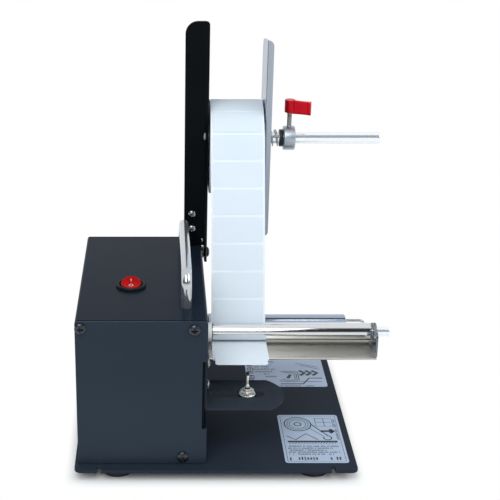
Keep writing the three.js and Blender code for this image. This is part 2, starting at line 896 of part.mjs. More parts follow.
function springLeastGap(stations) {
  const stepsApart = stepsPerTurn / 2;
  let least = Infinity;
  for (let i = 0; i < stations.length; i++) {
    for (let j = i + stepsApart; j < stations.length; j++) {
      least = Math.min(least, stations[i].point.distanceTo(stations[j].point) - springWire);
    }
  }
  return least;
}

console.log("guide_spring: least gap to itself, mm:", springLeastGap(springStations()).toFixed(2));

const springSides = 5;
add("guide_plate", guidePlate(), finish(0xc2cacc, 0.3, 0.9));
add("guide_spring", tubeAlong(springStations(), springWire / 2, springSides), finish(0xa0a4a6, 0.3, 1));
add(
  "spring_seat", ring(spindleRadius + gap, seatRadius, seatLeft, seatLeft + seatLength, "x", spindleAxis),
  finish(0x17181a, 0.6, 0),
);

const leverPlace = collarLeft + collarLength / 2;
const studBottom = spindleHeight + collarRadius - studGrip;
const hubBottom = spindleHeight + collarRadius + studRise;

function lockCollar() {
  const [bore, collarRight] = [spindleRadius + gap, collarLeft + collarLength];
  const body = ring(bore, collarRadius, collarLeft, collarRight, "x", spindleAxis);
  const roof = spindleHeight + collarRadius + overrun;
  return body.subtract(rod(studRadius + gap, studBottom - gap, roof, "z", [leverPlace, spindleSetback]));
}

function clampLever() {
  const half = wingThick / 2;
  const top = hubHeight;
  const tipShare = 0.75;
  const outline = new THREE.Shape();
  outline.moveTo(0, -half);
  outline.lineTo(wingReach - half * tipShare, -half * tipShare);
  outline.absarc(wingReach - half * tipShare, 0, half * tipShare, -quarter, quarter, false);
  outline.lineTo(0, half);
  const wing = slab(outline, "xy", top - wingHeight, top);
  const bore = rod(studRadius + gap, -overrun, hubBore, "z", [0, 0], smallFacets);
  return joined(rod(hubRadius, 0, top, "z", [0, 0]), wing).subtract(bore);
}

const studTop = hubBottom + hubBore - gap;
add("lock_collar", lockCollar(), finish(0xb9bcbe, 0.3, 1));
add(
  "lever_stud", rod(studRadius, studBottom, studTop, "z", [leverPlace, spindleSetback], smallFacets),
  finish(0x9a9c9e, 0.35, 0.9),
);
add(
  "clamp_lever", clampLever(), finish(0xc02c30, 0.35, 0.6),
  [leverPlace, spindleSetback, hubBottom], [0, 0, -THREE.MathUtils.degToRad(leverTurn)],
);

// Stripper plate with an ear at each end, the axle through both and the roller on the axle
function stripperPlate() {
  const nose = stripperThick / 2;
  const outline = roundedOutline(
    stripperSetback, stripperRear, stripperBottom, stripperTop, [nose, 0, 0, nose],
  );
  const [axleY, axleZ] = rollerCentre;
  const skirt = stripperBottom - earSkirt;
  const earFront = stripperSetback + earInset;
  const earOutline = roundedOutline(
    earFront, axleY + earTail, skirt, axleZ + rollerRadius, [0, 0, earBack, earCorner],
  );
  const ears = [stripperLeft, stripperRight - earThick].map((x) => slab(earOutline, "yz", x, x + earThick));
  const [left, right] = [stripperLeft - overrun, stripperRight + overrun];
  const ends = [[left, stripperLeft + earThick], [stripperRight - earThick, right]];
  const corners = ends.map(([from, to]) => block(
    from, to, stripperSetback - overrun, earFront, skirt, stripperTop + overrun,
  ));
  const bore = rod(axleRadius + gap, left, right, "x", rollerCentre);
  return cut(joined(slab(outline, "yz", stripperLeft, stripperRight), ...ears), bore, ...corners);
}

const steel = 0xa9adb0;
const axleEnd = stripperRight + axleTail;
add("stripper_plate", stripperPlate(), finish(steel, 0.2, 1));
add("roller_axle", rod(axleRadius, plateInner, axleEnd, "x", rollerCentre), finish(0xb4b7b9, 0.22, 1));
add(
  "axle_clip", ring(
    axleRadius + gap, clipRadius, stripperRight + gap, stripperRight + gap + clipThick, "x", rollerCentre,
  ),
  finish(0x9a9c9e, 0.35, 0.9),
);
add(
  "roller_bush", ring(
    axleRadius + gap, rollerRadius, stripperLeft + earThick + gap, rollerLeft - gap, "x", rollerCentre,
  ),
  finish(0xf0f0ee, 0.5, 0),
);
add(
  "tension_roller", ring(axleRadius + gap, rollerRadius, rollerLeft, rollerRight, "x", rollerCentre),
  finish(0xd8dadc, 0.12, 1),
);

// Label web from the roll, behind and under the roller, to the peeling edge
const noseRadius = stripperThick / 2;
const noseCentre = [stripperSetback + noseRadius, stripperTop - noseRadius];

function labelWeb() {
  const [rollTurn, rollerTurn] = [rollRadius + webLift, rollerRadius + webLift];
  const leave = crossTangent(rollCentre, rollTurn, rollerCentre, rollerTurn);
  const meet = leave - Math.PI;
  const bendSteps = 6;
  const path = [
    ...arcPoints(rollCentre, rollTurn, leave - quarter / bendSteps, leave, bendSteps),
    ...arcPoints(rollerCentre, rollerTurn, meet, -quarter, bendSteps),
    [noseCentre[0] + gap, stripperTop + webLift],
  ];
  return strip(path, rollLeft, rollRight);
}

function linerReturn() {
  const wrap = quarter / 3;
  const bendSteps = 6;
  const [noseTurn, takeupTurn] = [noseRadius + webLift, takeupRadius + webLift];
  const leave = crossTangent(noseCentre, noseTurn, takeupCentre, takeupTurn);
  const meet = leave + Math.PI;
  const path = [
    ...arcPoints(noseCentre, noseTurn, quarter, leave + 2 * Math.PI, bendSteps),
    ...arcPoints(takeupCentre, takeupTurn, meet, meet - wrap, bendSteps),
  ];
  return strip(path, rollLeft, rollRight);
}

function peeledLabel() {
  const rear = stripperSetback - webLift - paper / 2 - gap;
  const [left, right] = [rollLeft + linerMargin, rollRight - linerMargin];
  const outline = roundedOutline(left, right, labelLead, rear, [labelCorner, labelCorner, 0, 0]);
  return slab(outline, "xy", stripperTop + gap, stripperTop + gap + paper);
}

add("label_web", labelWeb(), finish(0xe4ecf4, 0.6, 0));
add("liner_return", linerReturn(), finish(0xbfcbd6, 0.5, 0));
add("peeled_label", peeledLabel(), finish(0xe4ecf4, 0.6, 0));

// Take-up spindle with its clip, and the gear, pinion and motor that turn it
const grooveHalf = clipWire / 2 + gap;
const clipHeight = takeupHeight + takeupRadius - grooveHalf;

// A solid turned about the take-up axis from the drum's top towards the front, by the clip's lean
function leaning(solid) {
  const [y, z] = takeupCentre;
  return solid.translate([0, -y, -z]).rotate([clipLean, 0, 0]).translate([0, y, z]);
}

function takeupSpindle() {
  const tail = gearLeft - gap;
  const profile = [
    [0, tail],
    [takeupShaft, tail],
    [takeupShaft, takeupLeft],
    [takeupRadius, takeupLeft],
    [takeupRadius, takeupRight],
    [0, takeupRight],
  ];
  const groove = block(
    takeupRight - clipInset - gap, takeupRight + overrun, takeupSetback - grooveHalf,
    takeupSetback + grooveHalf, clipHeight - grooveHalf, takeupHeight + takeupRadius + overrun,
  );
  return turned(profile, "x", takeupCentre).subtract(leaning(groove));
}

function takeupClip() {
  const [right, down] = [new THREE.Vector3(1, 0, 0), new THREE.Vector3(0, 0, -1)];
  const tip = takeupRight + clipReach - clipWire / 2;
  const corner = new THREE.Vector3(tip, takeupSetback, clipHeight);
  const start = new THREE.Vector3(takeupRight - clipInset, takeupSetback, clipHeight);
  const steps = 4;
  const stations = [
    { point: start, direction: right },
    ...bendStations(corner, right, down, clipBend, steps),
    { point: corner.clone().addScaledVector(down, clipDrop), direction: down },
  ];
  return leaning(tubeAlong(stations, clipWire / 2, smallFacets));
}

// A spur wheel about the axis through centre, with a tooth at phase times its pitch
function spurWheel(teeth, centre, phase, bore) {
  const addendumShare = 0.8;
  const dedendumShare = 1.25;
  const tipWidthShare = 0.22;
  const rootWidthShare = 0.58;
  const radius = gearModule * teeth / 2;
  const [tip, root] = [radius + gearModule * addendumShare, radius - gearModule * dedendumShare];
  const pitch = 2 * Math.PI / teeth;
  const points = [];
  for (let i = 0; i < teeth; i++) {
    const middle = pitch * (i + phase);
    const rise = [[root, -rootWidthShare], [tip, -tipWidthShare]];
    const fall = [[tip, tipWidthShare], [root, rootWidthShare]];
    for (const [r, share] of [...rise, ...fall]) {
      const angle = middle + pitch * share / 2;
      points.push(new THREE.Vector2(centre[0] + r * Math.cos(angle), centre[1] + r * Math.sin(angle)));
    }
  }
  const wheel = slab(new THREE.Shape(points), "yz", gearLeft, gearRight);
  return bore ? wheel.subtract(rod(bore, gearLeft - overrun, gearRight + overrun, "x", centre)) : wheel;
}

function takeupBush() {
  const [inner, outer] = [takeupShaft + gap, takeupShaft + gap + bushWall];
  const flangeRight = plateInner - gap;
  const flangeLeftFace = flangeRight - bushFlange;
  const profile = [
    [inner, flangeLeftFace],
    [outer + bushWall, flangeLeftFace],
    [outer + bushWall, flangeRight],
    [outer, flangeRight],
    [outer, plateOuter],
    [inner, plateOuter],
    [inner, flangeLeftFace],
  ];
  return turned(profile, "x", takeupCentre);
}

function gearMotor() {
  const canShare = 0.93;
  const gearboxShare = 0.35;
  const back = motorFace - motorLength;
  const step = motorFace - motorLength * gearboxShare;
  const profile = [
    [0, back],
    [motorRadius * canShare, back],
    [motorRadius * canShare, step],
    [motorRadius, step],
    [motorRadius, motorFace],
    [motorShaft + gap, motorFace],
    [motorShaft + gap, motorFace - motorBore],
    [0, motorFace - motorBore],
  ];
  return turned(profile, "x", pinionCentre);
}

function motorBracket() {
  const half = motorRadius + bracketMargin;
  const [y, z] = pinionCentre;
  const upright = block(bracketLeft, bracketRight, y - half, y + half, gap, z + half);
  const base = block(bracketRight - bracketFoot, bracketRight, y - half, y + half, gap, gap + bracketThick);
  const bore = rod(motorShaft + gap, bracketLeft - overrun, bracketRight + overrun, "x", pinionCentre);
  return joined(upright, base).subtract(bore);
}

function motorPinion() {
  const phaseShare = 0.5;
  const shaft = rod(motorShaft, motorFace - motorBore + gap, gearRight, "x", pinionCentre, smallFacets);
  return spurWheel(pinionTeeth, pinionCentre, phaseShare, 0).add(shaft);
}

add("takeup_spindle", takeupSpindle(), finish(0x82909c, 0.4, 0.7));
add("takeup_clip", takeupClip(), finish(0xa0a4a6, 0.3, 1));
add("takeup_gear", spurWheel(gearTeeth, takeupCentre, 0, takeupShaft + gap), finish(0xe6e2d6, 0.5, 0));
add("takeup_bush", takeupBush(), finish(0xb08d4a, 0.4, 0.8));
add("gear_motor", gearMotor(), finish(0x8f9396, 0.4, 0.8));
add("motor_bracket", motorBracket(), finish(0x6a6e72, 0.5, 0.6));
add("motor_pinion", motorPinion(), finish(0xc0c2c4, 0.35, 0.9));

// Control board on its standoffs, with its capacitors and terminal block
function controlBoard() {
  const [left, front] = [caseLeft + boardInset, caseFront + boardSetback];
  const [right, rear] = [left + boardWidth, front + boardDepth];
  const bottom = gap + standoffHeight;
  const top = bottom + boardThick;
  const legs = [];
  for (const x of [left + standoffRadius, right - standoffRadius]) {
    for (const y of [front + standoffRadius, rear - standoffRadius]) {
      legs.push(rod(standoffRadius, gap, bottom + boardThick / 2, "z", [x, y], smallFacets));
    }
  }
  const middle = (left + right) / 2;
  const capShares = [0.25, 0.5];
  const caps = capShares.map((share) => {
    const y = front + boardDepth * share;
    return rod(capRadius, top - boardThick / 2, top + capHeight, "z", [middle, y], smallFacets);
  });
  const terminal = block(
    left + plugBlock, right - plugBlock, rear - 2 * plugBlock, rear - plugBlock,
    top - boardThick / 2, top + plugBlock,
  );
  return joined(block(left, right, front, rear, bottom, top), ...legs, ...caps, terminal);
}

add("control_board", controlBoard(), finish(0x1f5a38, 0.6, 0));

// Sensor arm: an angle plate that slides along the case wall under two clamp screws
function sensorArm() {
  const bottom = armTop - armThick;
  const roundCentre = armRight - armEndRadius;
  const straight = armWidth / 2;
  const reach = Math.sqrt(armEndRadius * armEndRadius - straight * straight);
  const spread = Math.asin(straight / armEndRadius);
  const outline = new THREE.Shape();
  outline.moveTo(armLeft, armSetback);
  outline.lineTo(roundCentre + reach, armSetback);
  outline.absarc(roundCentre, armMiddle, armEndRadius, -spread, spread, false);
  outline.lineTo(armLeft, armRear);
  const endSegments = 8;
  const plate = slab(outline, "xy", bottom, armTop, endSegments);
  const leg = block(armLeft, armLeft + armThick, armSetback, armRear, bottom, notchHigh - legClearance);
  const slotLeft = caseRight + slotInset;
  const slotHalf = slotWidth / 2;
  const radii = [slotHalf, slotHalf, slotHalf, slotHalf];
  const slotOutline = roundedOutline(
    slotLeft, slotLeft + slotLength, armMiddle - slotHalf, armMiddle + slotHalf, radii,
  );
  const bore = screwShankRadius + gap;
  const clampSlots = clampPlaces.map(([y, z]) => block(
    armLeft - overrun, armLeft + armThick + overrun, y - bore - armTravelBack, y + bore + armTravelForward,
    z - bore, z + bore,
  ));
  return cut(joined(plate, leg), slab(slotOutline, "xy", bottom - overrun, armTop + overrun), ...clampSlots);
}

add("sensor_arm", sensorArm(), finish(0x2a2c2f, 0.5, 0.3));
clampPlaces.forEach(([y, z], i) => {
  const name = ["arm_screw_low", "arm_screw_high"][i];
  const head = armLeft + armThick + gap;
  const screw = panScrew(screwHeadRadius, head - plateInner);
  add(name, screw, finish(0xc4c7c9, 0.25, 1), [head, y, z], facingRight);
});

// Sensor: a switch body under the arm, its barrel through the slot, a nut and a sprung feeler pin
const sensorAxis = [sensorPlace, armMiddle];
const barrelTop = armTop + barrelRise;
const pinPivot = barrelTop + gap + pinBallRadius;

function sensorBody() {
  const top = armTop - armThick - gap;
  const [x, y] = sensorAxis;
  const [halfX, halfY] = [sensorBodyWidth / 2, sensorBodyDepth / 2];
  const body = block(x - halfX, x + halfX, y - halfY, y + halfY, top - sensorBodyHeight, top);
  return body.add(rod(barrelRadius, top - overrun, barrelTop, "z", sensorAxis));
}

function sensorPin() {
  const neck = Math.sqrt(pinBallRadius * pinBallRadius - pinRadius * pinRadius);
  const ballShares = [[0, -1], [0.5, -0.866], [0.866, -0.5], [1, 0]];
  const ball = ballShares.map(([r, h]) => [pinBallRadius * r, pinBallRadius * h]);
  const pin = [[pinRadius, neck], [pinRadius, pinLength], [0, pinLength]];
  return turned([...ball, ...pin], "z", [0, 0], smallFacets);
}

function sensorTip() {
  const ball = new THREE.SphereGeometry(tipRadius, smallFacets, smallFacets / 2);
  return solidOf(ball.rotateX(quarter));
}

const nutBottom = armTop + gap;
add("sensor_body", sensorBody(), finish(0x1b1d20, 0.5, 0));
add(
  "sensor_nut",
  hexNut(sensorNutRadius, barrelRadius + gap, nutBottom, nutBottom + sensorNutHeight, "z", sensorAxis),
  finish(0xc9c8c0, 0.25, 1),
);
add("sensor_pin", sensorPin(), finish(0xb4b7b9, 0.25, 1), [...sensorAxis, pinPivot]);
const tipCentre = pinPivot + pinLength + gap + tipRadius;
add("sensor_tip", sensorTip(), finish(0x101112, 0.6, 0), [...sensorAxis, tipCentre]);

// Stickers on the base plate
function sticker(right, front, width, depth) {
  const lift = gap / 3;
  return block(right - width, right, front, front + depth, lift, lift + stickerThick);
}

add(
  "sticker_front",
  sticker(baseWidth - frontStickerInset, frontStickerSetback, frontStickerWidth, frontStickerDepth),
  finish(0xa0b2c8, 0.5, 0),
);
add(
  "sticker_rear",
  sticker(baseWidth - rearStickerInset, rearStickerSetback, rearStickerWidth, rearStickerDepth),
  finish(0x8796a9, 0.5, 0),
);

// Origin in the middle of the footprint, with the feet on z 0
const bounds = new THREE.Box3().setFromObject(machine);
const centre = bounds.getCenter(new THREE.Vector3());
machine.position.set(-centre.x, -centre.y, -bounds.min.z);

export default machine;
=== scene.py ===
import math

import bmesh
import bpy
import numpy as np
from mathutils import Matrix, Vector
from mathutils.geometry import tessellate_polygon


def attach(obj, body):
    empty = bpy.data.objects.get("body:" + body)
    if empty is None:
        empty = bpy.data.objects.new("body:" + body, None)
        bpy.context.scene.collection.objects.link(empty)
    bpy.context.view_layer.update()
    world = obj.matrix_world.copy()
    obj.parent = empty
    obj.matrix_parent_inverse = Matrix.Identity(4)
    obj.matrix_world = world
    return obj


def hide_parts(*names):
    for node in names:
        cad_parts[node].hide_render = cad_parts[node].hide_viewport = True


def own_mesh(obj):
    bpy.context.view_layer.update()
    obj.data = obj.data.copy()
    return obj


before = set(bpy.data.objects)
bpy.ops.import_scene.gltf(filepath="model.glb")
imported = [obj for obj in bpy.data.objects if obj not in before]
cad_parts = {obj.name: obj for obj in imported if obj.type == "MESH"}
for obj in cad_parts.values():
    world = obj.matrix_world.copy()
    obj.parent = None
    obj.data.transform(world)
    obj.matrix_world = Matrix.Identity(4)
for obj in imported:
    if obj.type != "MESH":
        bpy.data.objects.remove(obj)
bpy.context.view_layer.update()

scene = bpy.context.scene

# Camera. A long lens in front of the machine and above it, aimed 21.6 degrees down.
# The lens axis runs left of the machine's middle, so the frame is shifted to the right.
def placed(name, data):
    """An object of that data, put into the scene."""
    made = bpy.data.objects.new(name, data)
    scene.collection.objects.link(made)
    return made


camera = placed("camera", bpy.data.cameras.new("camera"))
camera.location = (-0.05895, -0.87785, 0.4920)
camera.rotation_euler = (math.radians(68.4), 0, 0)
camera.data.sensor_width = 36
camera.data.lens = 85.46
camera.data.shift_x = 0.18
scene.camera = camera
scene.view_settings.view_transform = "Standard"


# Studio. A white surround for the camera, light panels with a soft dark strip between them for the
# bright metal, two large soft lamps, and a pale floor that keeps the shadow and shows gloss a dark card.
def hue(r, g, b):
    """A colour given in a screen's 0 to 255 steps, as the linear values that a shader takes."""
    c = np.array([r, g, b]) / 255
    return (*np.where(c <= 0.04045, c / 12.92, ((c + 0.055) / 1.055) ** 2.4), 1.0)


def node(tree, kind, sockets=None, **settings):
    """Adds a shader node, links or sets its sockets and returns it."""
    made = tree.nodes.new("ShaderNode" + kind)
    for key, value in settings.items():
        setattr(made, key, value)
    for key, value in (sockets or {}).items():
        if isinstance(value, bpy.types.NodeSocket):
            tree.links.new(value, made.inputs[key])
        else:
            made.inputs[key].default_value = value
    return made


def worked(tree, operation, *values, kind="Math"):
    """The result of a sum on sockets or numbers, or on vectors with the kind VectorMath."""
    return node(tree, kind, dict(enumerate(values)), operation=operation).outputs[0]


def seen_directly(tree):
    """1 for rays from the camera, from gloss and through glass, 0 for rays that gather light."""
    path = node(tree, "LightPath").outputs
    first = worked(tree, "MAXIMUM", path["Is Camera Ray"], path["Is Glossy Ray"])
    return worked(tree, "MAXIMUM", first, path["Is Transmission Ray"])


surround = bpy.data.worlds.new("surround")
scene.world = surround
surround.use_nodes = True
air = surround.node_tree
air.nodes.clear()
facing = node(air, "SeparateXYZ", {0: node(air, "TexCoord").outputs["Generated"]}).outputs
ahead = worked(air, "MULTIPLY", facing["Y"], -1.0)
rise = worked(air, "ARCTAN2", facing["Z"], ahead)
first_angle, last_angle = -30, 180
spanned = node(air, "MapRange", {0: rise, 1: math.radians(first_angle), 2: math.radians(last_angle)})
strips = node(air, "ValToRGB", {0: spanned.outputs[0]})
panel_levels = ((8, 1.0), (21, 0.1), (27, 0.03), (56, 0.03), (64, 0.2), (76, 0.95), (140, 0.92), (165, 1.0))
for angle, level in panel_levels:
    place = (angle - first_angle) / (last_angle - first_angle)
    strips.color_ramp.elements.new(place).color = (level, level, level, 1)
for end in (0, -1):
    strips.color_ramp.elements[end].color = (0.96, 0.96, 0.96, 1)
to_camera = node(air, "LightPath").outputs["Is Camera Ray"]
open_sky = node(air, "Background", {"Color": (1, 1, 1, 1), "Strength": 1.0})
panels = node(air, "Background", {"Color": strips.outputs[0], "Strength": 1.0})
shown = node(air, "MixShader", {0: to_camera, 1: panels.outputs[0], 2: open_sky.outputs[0]})
ambient = node(air, "Background", {"Color": (0.96, 0.98, 1, 1), "Strength": 0.62})
both = node(air, "MixShader", {0: seen_directly(air), 1: ambient.outputs[0], 2: shown.outputs[0]})
node(air, "OutputWorld", {"Surface": both.outputs[0]})

for name, spot, size, watts in (
    ("key_lamp", (-0.45, -1.5, 1.9), 1.6, 29.0),
    ("fill_lamp", (1.66, -0.7, 1.45), 1.4, 15.0),
):
    lamp = placed(name, bpy.data.lights.new(name, "AREA"))
    lamp.data.size, lamp.data.energy = size, watts
    lamp.location = spot
    lamp.rotation_euler = (Vector((0, 0, 0.1)) - Vector(spot)).to_track_quat("-Z", "Y").to_euler()

reach = 4.0
floor = placed("floor", bpy.data.meshes.new("floor"))
corners = [(-reach, -reach, 0), (reach, -reach, 0), (reach, reach, 0), (-reach, reach, 0)]
floor.data.from_pydata(corners, [], [(0, 1, 2, 3)])
paving = bpy.data.materials.new("pale_floor")
paving.use_nodes = True
ground = paving.node_tree
ground.nodes.clear()


def outside(tree, middle, half):
    """How far a place on the floor lies outside the rectangle about middle of those half widths, in metres."""
    object_place = node(tree, "TexCoord").outputs["Object"]
    place = node(tree, "Mapping", {"Vector": object_place, "Location": (-middle[0], -middle[1], 0)})
    away = worked(tree, "ABSOLUTE", place.outputs[0], kind="VectorMath")
    beyond = worked(tree, "SUBTRACT", away, (*half, 0), kind="VectorMath")
    apart = worked(tree, "MAXIMUM", beyond, (0, 0, 0), kind="VectorMath")
    return node(tree, "VectorMath", {0: apart}, operation="LENGTH").outputs["Value"]


spread = outside(ground, (-0.0166, -0.0112), (0.106, 0.099))
shade_edge = 0.01
fade = node(ground, "MapRange", {0: spread, 2: shade_edge}, interpolation_type="SMOOTHSTEP").outputs[0]
white = worked(ground, "MULTIPLY", fade, seen_directly(ground))
matt = node(ground, "BsdfDiffuse", {"Color": (0.93, 0.94, 0.95, 1)}).outputs[0]
off_card = outside(ground, (-0.045, -0.4), (0.07, 0.12))
card_edge, card_depth = 0.09, 0.88
card_span = {0: off_card, 2: card_edge, 3: card_depth, 4: 0.0}
dark = node(ground, "MapRange", card_span, interpolation_type="SMOOTHSTEP").outputs[0]
glossy = node(ground, "LightPath").outputs["Is Glossy Ray"]
floor_light = worked(ground, "SUBTRACT", 1.0, worked(ground, "MULTIPLY", dark, glossy))
bright = node(ground, "Emission", {"Color": (1, 1, 1, 1), "Strength": floor_light}).outputs[0]
mixed = node(ground, "MixShader", {0: white, 1: matt, 2: bright})
node(ground, "OutputMaterial", {"Surface": mixed.outputs[0]})
floor.data.materials.append(paving)


# Base plate. One flat sheet of 2.5 mm steel, cut with rounded corners and two short slits in its
# front edge, and powder-coated dark blue grey all over.
MM = 0.001


def arc(centre, radius, start, turn, steps=6):
    """Points of a circle about centre, from the start angle on through turn, both in degrees."""
    angle = np.radians(np.linspace(start, start + turn, steps + 1))
    return np.stack([centre[0] + radius * np.cos(angle), centre[1] + radius * np.sin(angle)], 1)


def rounded(u0, u1, v0, v1, r0, r1, r2, r3, steps=6):
    """A rectangle's outline, counter-clockwise from lower left, each corner an arc of its own radius."""
    return np.concatenate([
        arc((u0 + r0, v0 + r0), r0, 180, 90, steps), arc((u1 - r1, v0 + r1), r1, 270, 90, steps),
        arc((u1 - r2, v1 - r2), r2, 0, 90, steps), arc((u0 + r3, v1 - r3), r3, 90, 90, steps),
    ])


def cut_sheet(name, loops, fold, thick, scores=(), ease=0.25, steps=2):
    """A sheet cut to outlines in its flat pattern (u, v), the rim counter-clockwise and then any holes.
    It is scored along u = each score, then (u, v) goes to fold(u, v) = (x, y, z) in millimetres, and the
    wall is thickened inwards and eased along its edges."""
    rims = [loop[np.abs(loop - np.roll(loop, 1, 0)).max(1) > 1e-6] for loop in loops]
    flat = np.concatenate([np.c_[rim, np.zeros(len(rim))] for rim in rims])
    faces = [tuple(range(len(flat)))]
    if len(rims) > 1:
        made = tessellate_polygon([[Vector((u, v, 0)) for u, v in rim] for rim in rims])
        thirds = np.array(made)
        a, b, c = (flat[thirds[:, i], :2] for i in range(3))
        turned_over = np.cross(b - a, c - a) < 0
        thirds[turned_over] = thirds[turned_over][:, ::-1]
        faces = thirds.tolist()
    mesh = bpy.data.meshes.new(name)
    mesh.from_pydata(flat, [], faces)
    work = bmesh.new()
    work.from_mesh(mesh)
    for u in scores:
        every = work.verts[:] + work.edges[:] + work.faces[:]
        bmesh.ops.bisect_plane(work, geom=every, dist=1e-5, plane_co=(u, 0, 0), plane_no=(1, 0, 0))
    work.to_mesh(mesh)
    work.free()
    spots = np.empty(len(mesh.vertices) * 3)
    mesh.vertices.foreach_get("co", spots)
    u, v = spots.reshape(-1, 3)[:, :2].T
    folded = np.stack(np.broadcast_arrays(*fold(u, v)), 1)
    mesh.vertices.foreach_set("co", (folded * MM).ravel())
    mesh.update()
    mesh.shade_smooth()
    part = placed(name, mesh)
    wall = part.modifiers.new("wall", "SOLIDIFY")
    wall.thickness, wall.offset, wall.use_even_offset = thick * MM, -1, True
    rim = part.modifiers.new("rim", "BEVEL")
    rim.width, rim.segments, rim.limit_method, rim.angle_limit = ease * MM, steps, "ANGLE", math.radians(50)
    part.modifiers.new("flats", "WEIGHTED_NORMAL")
    return part


def surface(name, colour, rough, metal=0.0, drift=0.06, patch=22.0, grain=2000.0, relief=0.12,
            stretch=(1, 1, 1), scuff=0.05, level=0.5, under=0.0):
    """A finish whose colour and gloss drift a little over patches, with a fine grain raised on its face.
    patch and grain are waves to the metre, stretch draws the grain out along an axis, level is the strength
    of the gloss and under that of the light scattered below the face."""
    made = bpy.data.materials.new(name)
    made.use_nodes = True
    tree = made.node_tree
    shader = tree.nodes["Principled BSDF"]
    where = node(tree, "TexCoord").outputs["Object"]
    drawn = node(tree, "Mapping", {"Vector": where, "Scale": stretch}).outputs["Vector"]
    cloud = node(tree, "TexNoise", {"Vector": where, "Scale": patch, "Detail": 3.0}).outputs["Fac"]
    fine = node(tree, "TexNoise", {"Vector": drawn, "Scale": grain, "Detail": 2.0}).outputs["Fac"]
    tint = node(tree, "ValToRGB", {0: cloud})
    base = np.array(hue(*colour))
    tint.color_ramp.elements[0].position, tint.color_ramp.elements[1].position = 0.3, 0.7
    tint.color_ramp.elements[0].color = (*(base[:3] * (1 - drift)), 1)
    tint.color_ramp.elements[1].color = (*(base[:3] * (1 + drift)), 1)
    gloss = node(tree, "MapRange", {0: fine, 1: 0.3, 2: 0.7, 3: rough - scuff, 4: rough + scuff})
    raised = node(tree, "Bump", {"Height": fine, "Strength": relief, "Distance": 0.04 * MM})
    tree.links.new(tint.outputs[0], shader.inputs["Base Color"])
    tree.links.new(gloss.outputs[0], shader.inputs["Roughness"])
    tree.links.new(raised.outputs[0], shader.inputs["Normal"])
    shader.inputs["Metallic"].default_value = metal
    shader.inputs["Specular IOR Level"].default_value = level
    shader.inputs["Subsurface Weight"].default_value = under
    return made


def fit(part, finish, body, slot, *nodes):
    """Gives a piece its finish, makes it ride on its body and stand for the CAD nodes named. slot is not used.
    """
    part.data.materials.append(finish)
    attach(part, body)
    if nodes:
        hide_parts(*nodes)


base_left, base_right, base_front, base_back, base_top = -123.45, 90.25, -111.15, 88.85, 10.5
coat_level = 0.025
base_coat = surface("base_coat", (38, 46, 57), 0.32, drift=0.05, grain=2200, relief=0.25, scuff=0.06,
                    level=coat_level)
slit = np.array([(-1.5, 0), (-1.2, 5.6), (-0.8, 6), (0.8, 6), (1.2, 5.6), (1.5, 0)])
slits = [slit + (x, base_front) for x in (-104.75, 71.55)]
base_rim = rounded(base_left, base_right, base_front, base_back, 5, 5, 5, 5)
base_rim = np.concatenate([base_rim[:7], *slits, base_rim[7:]])
fit(cut_sheet("base_plate_skin", [base_rim], lambda u, v: (u, v, base_top), 2.5, ease=0.45, steps=3),
    base_coat, "frame", "base_coat", "base_plate")


# Feet. Four turned rubber feet under the base plate, each moulded with a pin that is pressed
# through a hole in the sheet. The lower rim is worn round.
def skin(name, points, closed=True, crease=32, around=True):
    """Joins a grid of points, rows by columns, into quads, with the last column joined to the first.
    Points that fall together are merged, so poles and seams are shut, and a closed form faces outwards."""
    rows, columns = points.shape[:2]
    spots, index = np.unique(np.round(points.reshape(-1, 3), 5), axis=0, return_inverse=True)
    index = index.reshape(rows, columns)
    ahead = np.roll(index, -1, 1) if around else index[:, 1:]
    here = index if around else index[:, :-1]
    quads = np.stack([here[:-1], ahead[:-1], ahead[1:], here[1:]], -1).reshape(-1, 4)
    same = quads == np.roll(quads, -1, 1)
    whole = quads[~same.any(1)]
    single = same.sum(1) == 1
    keep = ~same[single]
    thirds = quads[single][keep].reshape(-1, 3)
    a, b, c = (spots[i] for i in np.concatenate([whole[:, :3], whole[:, [0, 2, 3]], thirds]).T)
    if closed and (a * np.cross(b, c)).sum() < 0:
        whole, thirds = whole[:, ::-1], thirds[:, ::-1]
    mesh = bpy.data.meshes.new(name)
    mesh.from_pydata(spots * MM, [], whole.tolist() + thirds.tolist())
    mesh.shade_smooth()
    mesh.set_sharp_from_angle(angle=math.radians(crease))
    return placed(name, mesh)


def eased(profile, radius, steps=3):
    """A profile of (radius, height) pairs whose inner corners are replaced by short arcs, drawn as
    p + (1 - t)^2 (a - p) + t^2 (b - p) between points a and b on the two sides of the corner p."""
    p = np.array(profile, float)
    t = np.linspace(0, 1, steps + 1)[:, None]
    before, after = p[:-2] - p[1:-1], p[2:] - p[1:-1]
    most = 0.45
    reach_in = np.minimum(radius, most * np.linalg.norm(before, axis=1))[:, None]
    reach_out = np.minimum(radius, most * np.linalg.norm(after, axis=1))[:, None]
    before *= reach_in / np.maximum(np.linalg.norm(before, axis=1)[:, None], 1e-9)
    after *= reach_out / np.maximum(np.linalg.norm(after, axis=1)[:, None], 1e-9)
    soft = p[1:-1, None] + (1 - t) ** 2 * before[:, None] + t ** 2 * after[:, None]
    return np.concatenate([p[:1], soft.reshape(-1, 2), p[-1:]])


def ring_angles(sides):
    """The angles of that many points spaced evenly round a circle."""
    return 2 * np.pi * np.arange(sides) / sides


def lathed(name, profile, ease, along, centre, finish, body, slot, *nodes, sides=64, steps=3, crease=32):
    """A profile of (radius, height) pairs, from the axis to the axis or back to its start, with its corners
    eased, turned about the axis along x, y or z through centre: (centre + radius cos a, centre + radius sin a,
    height), with the axes put in their places. The piece gets its finish, body and nodes; slot is passed on
    but not used."""
    r, h = np.array(eased(profile, ease, steps) if ease else profile, float).T[..., None]
    a = ring_angles(sides)
    across, up, level = centre[0] + r * np.cos(a), centre[1] + r * np.sin(a), h + 0 * a
    placed_as = {"x": (level, across, up), "y": (across, level, up), "z": (across, up, level)}[along]
    fit(skin(name, np.stack(placed_as, -1), crease=crease), finish, body, slot, *nodes)


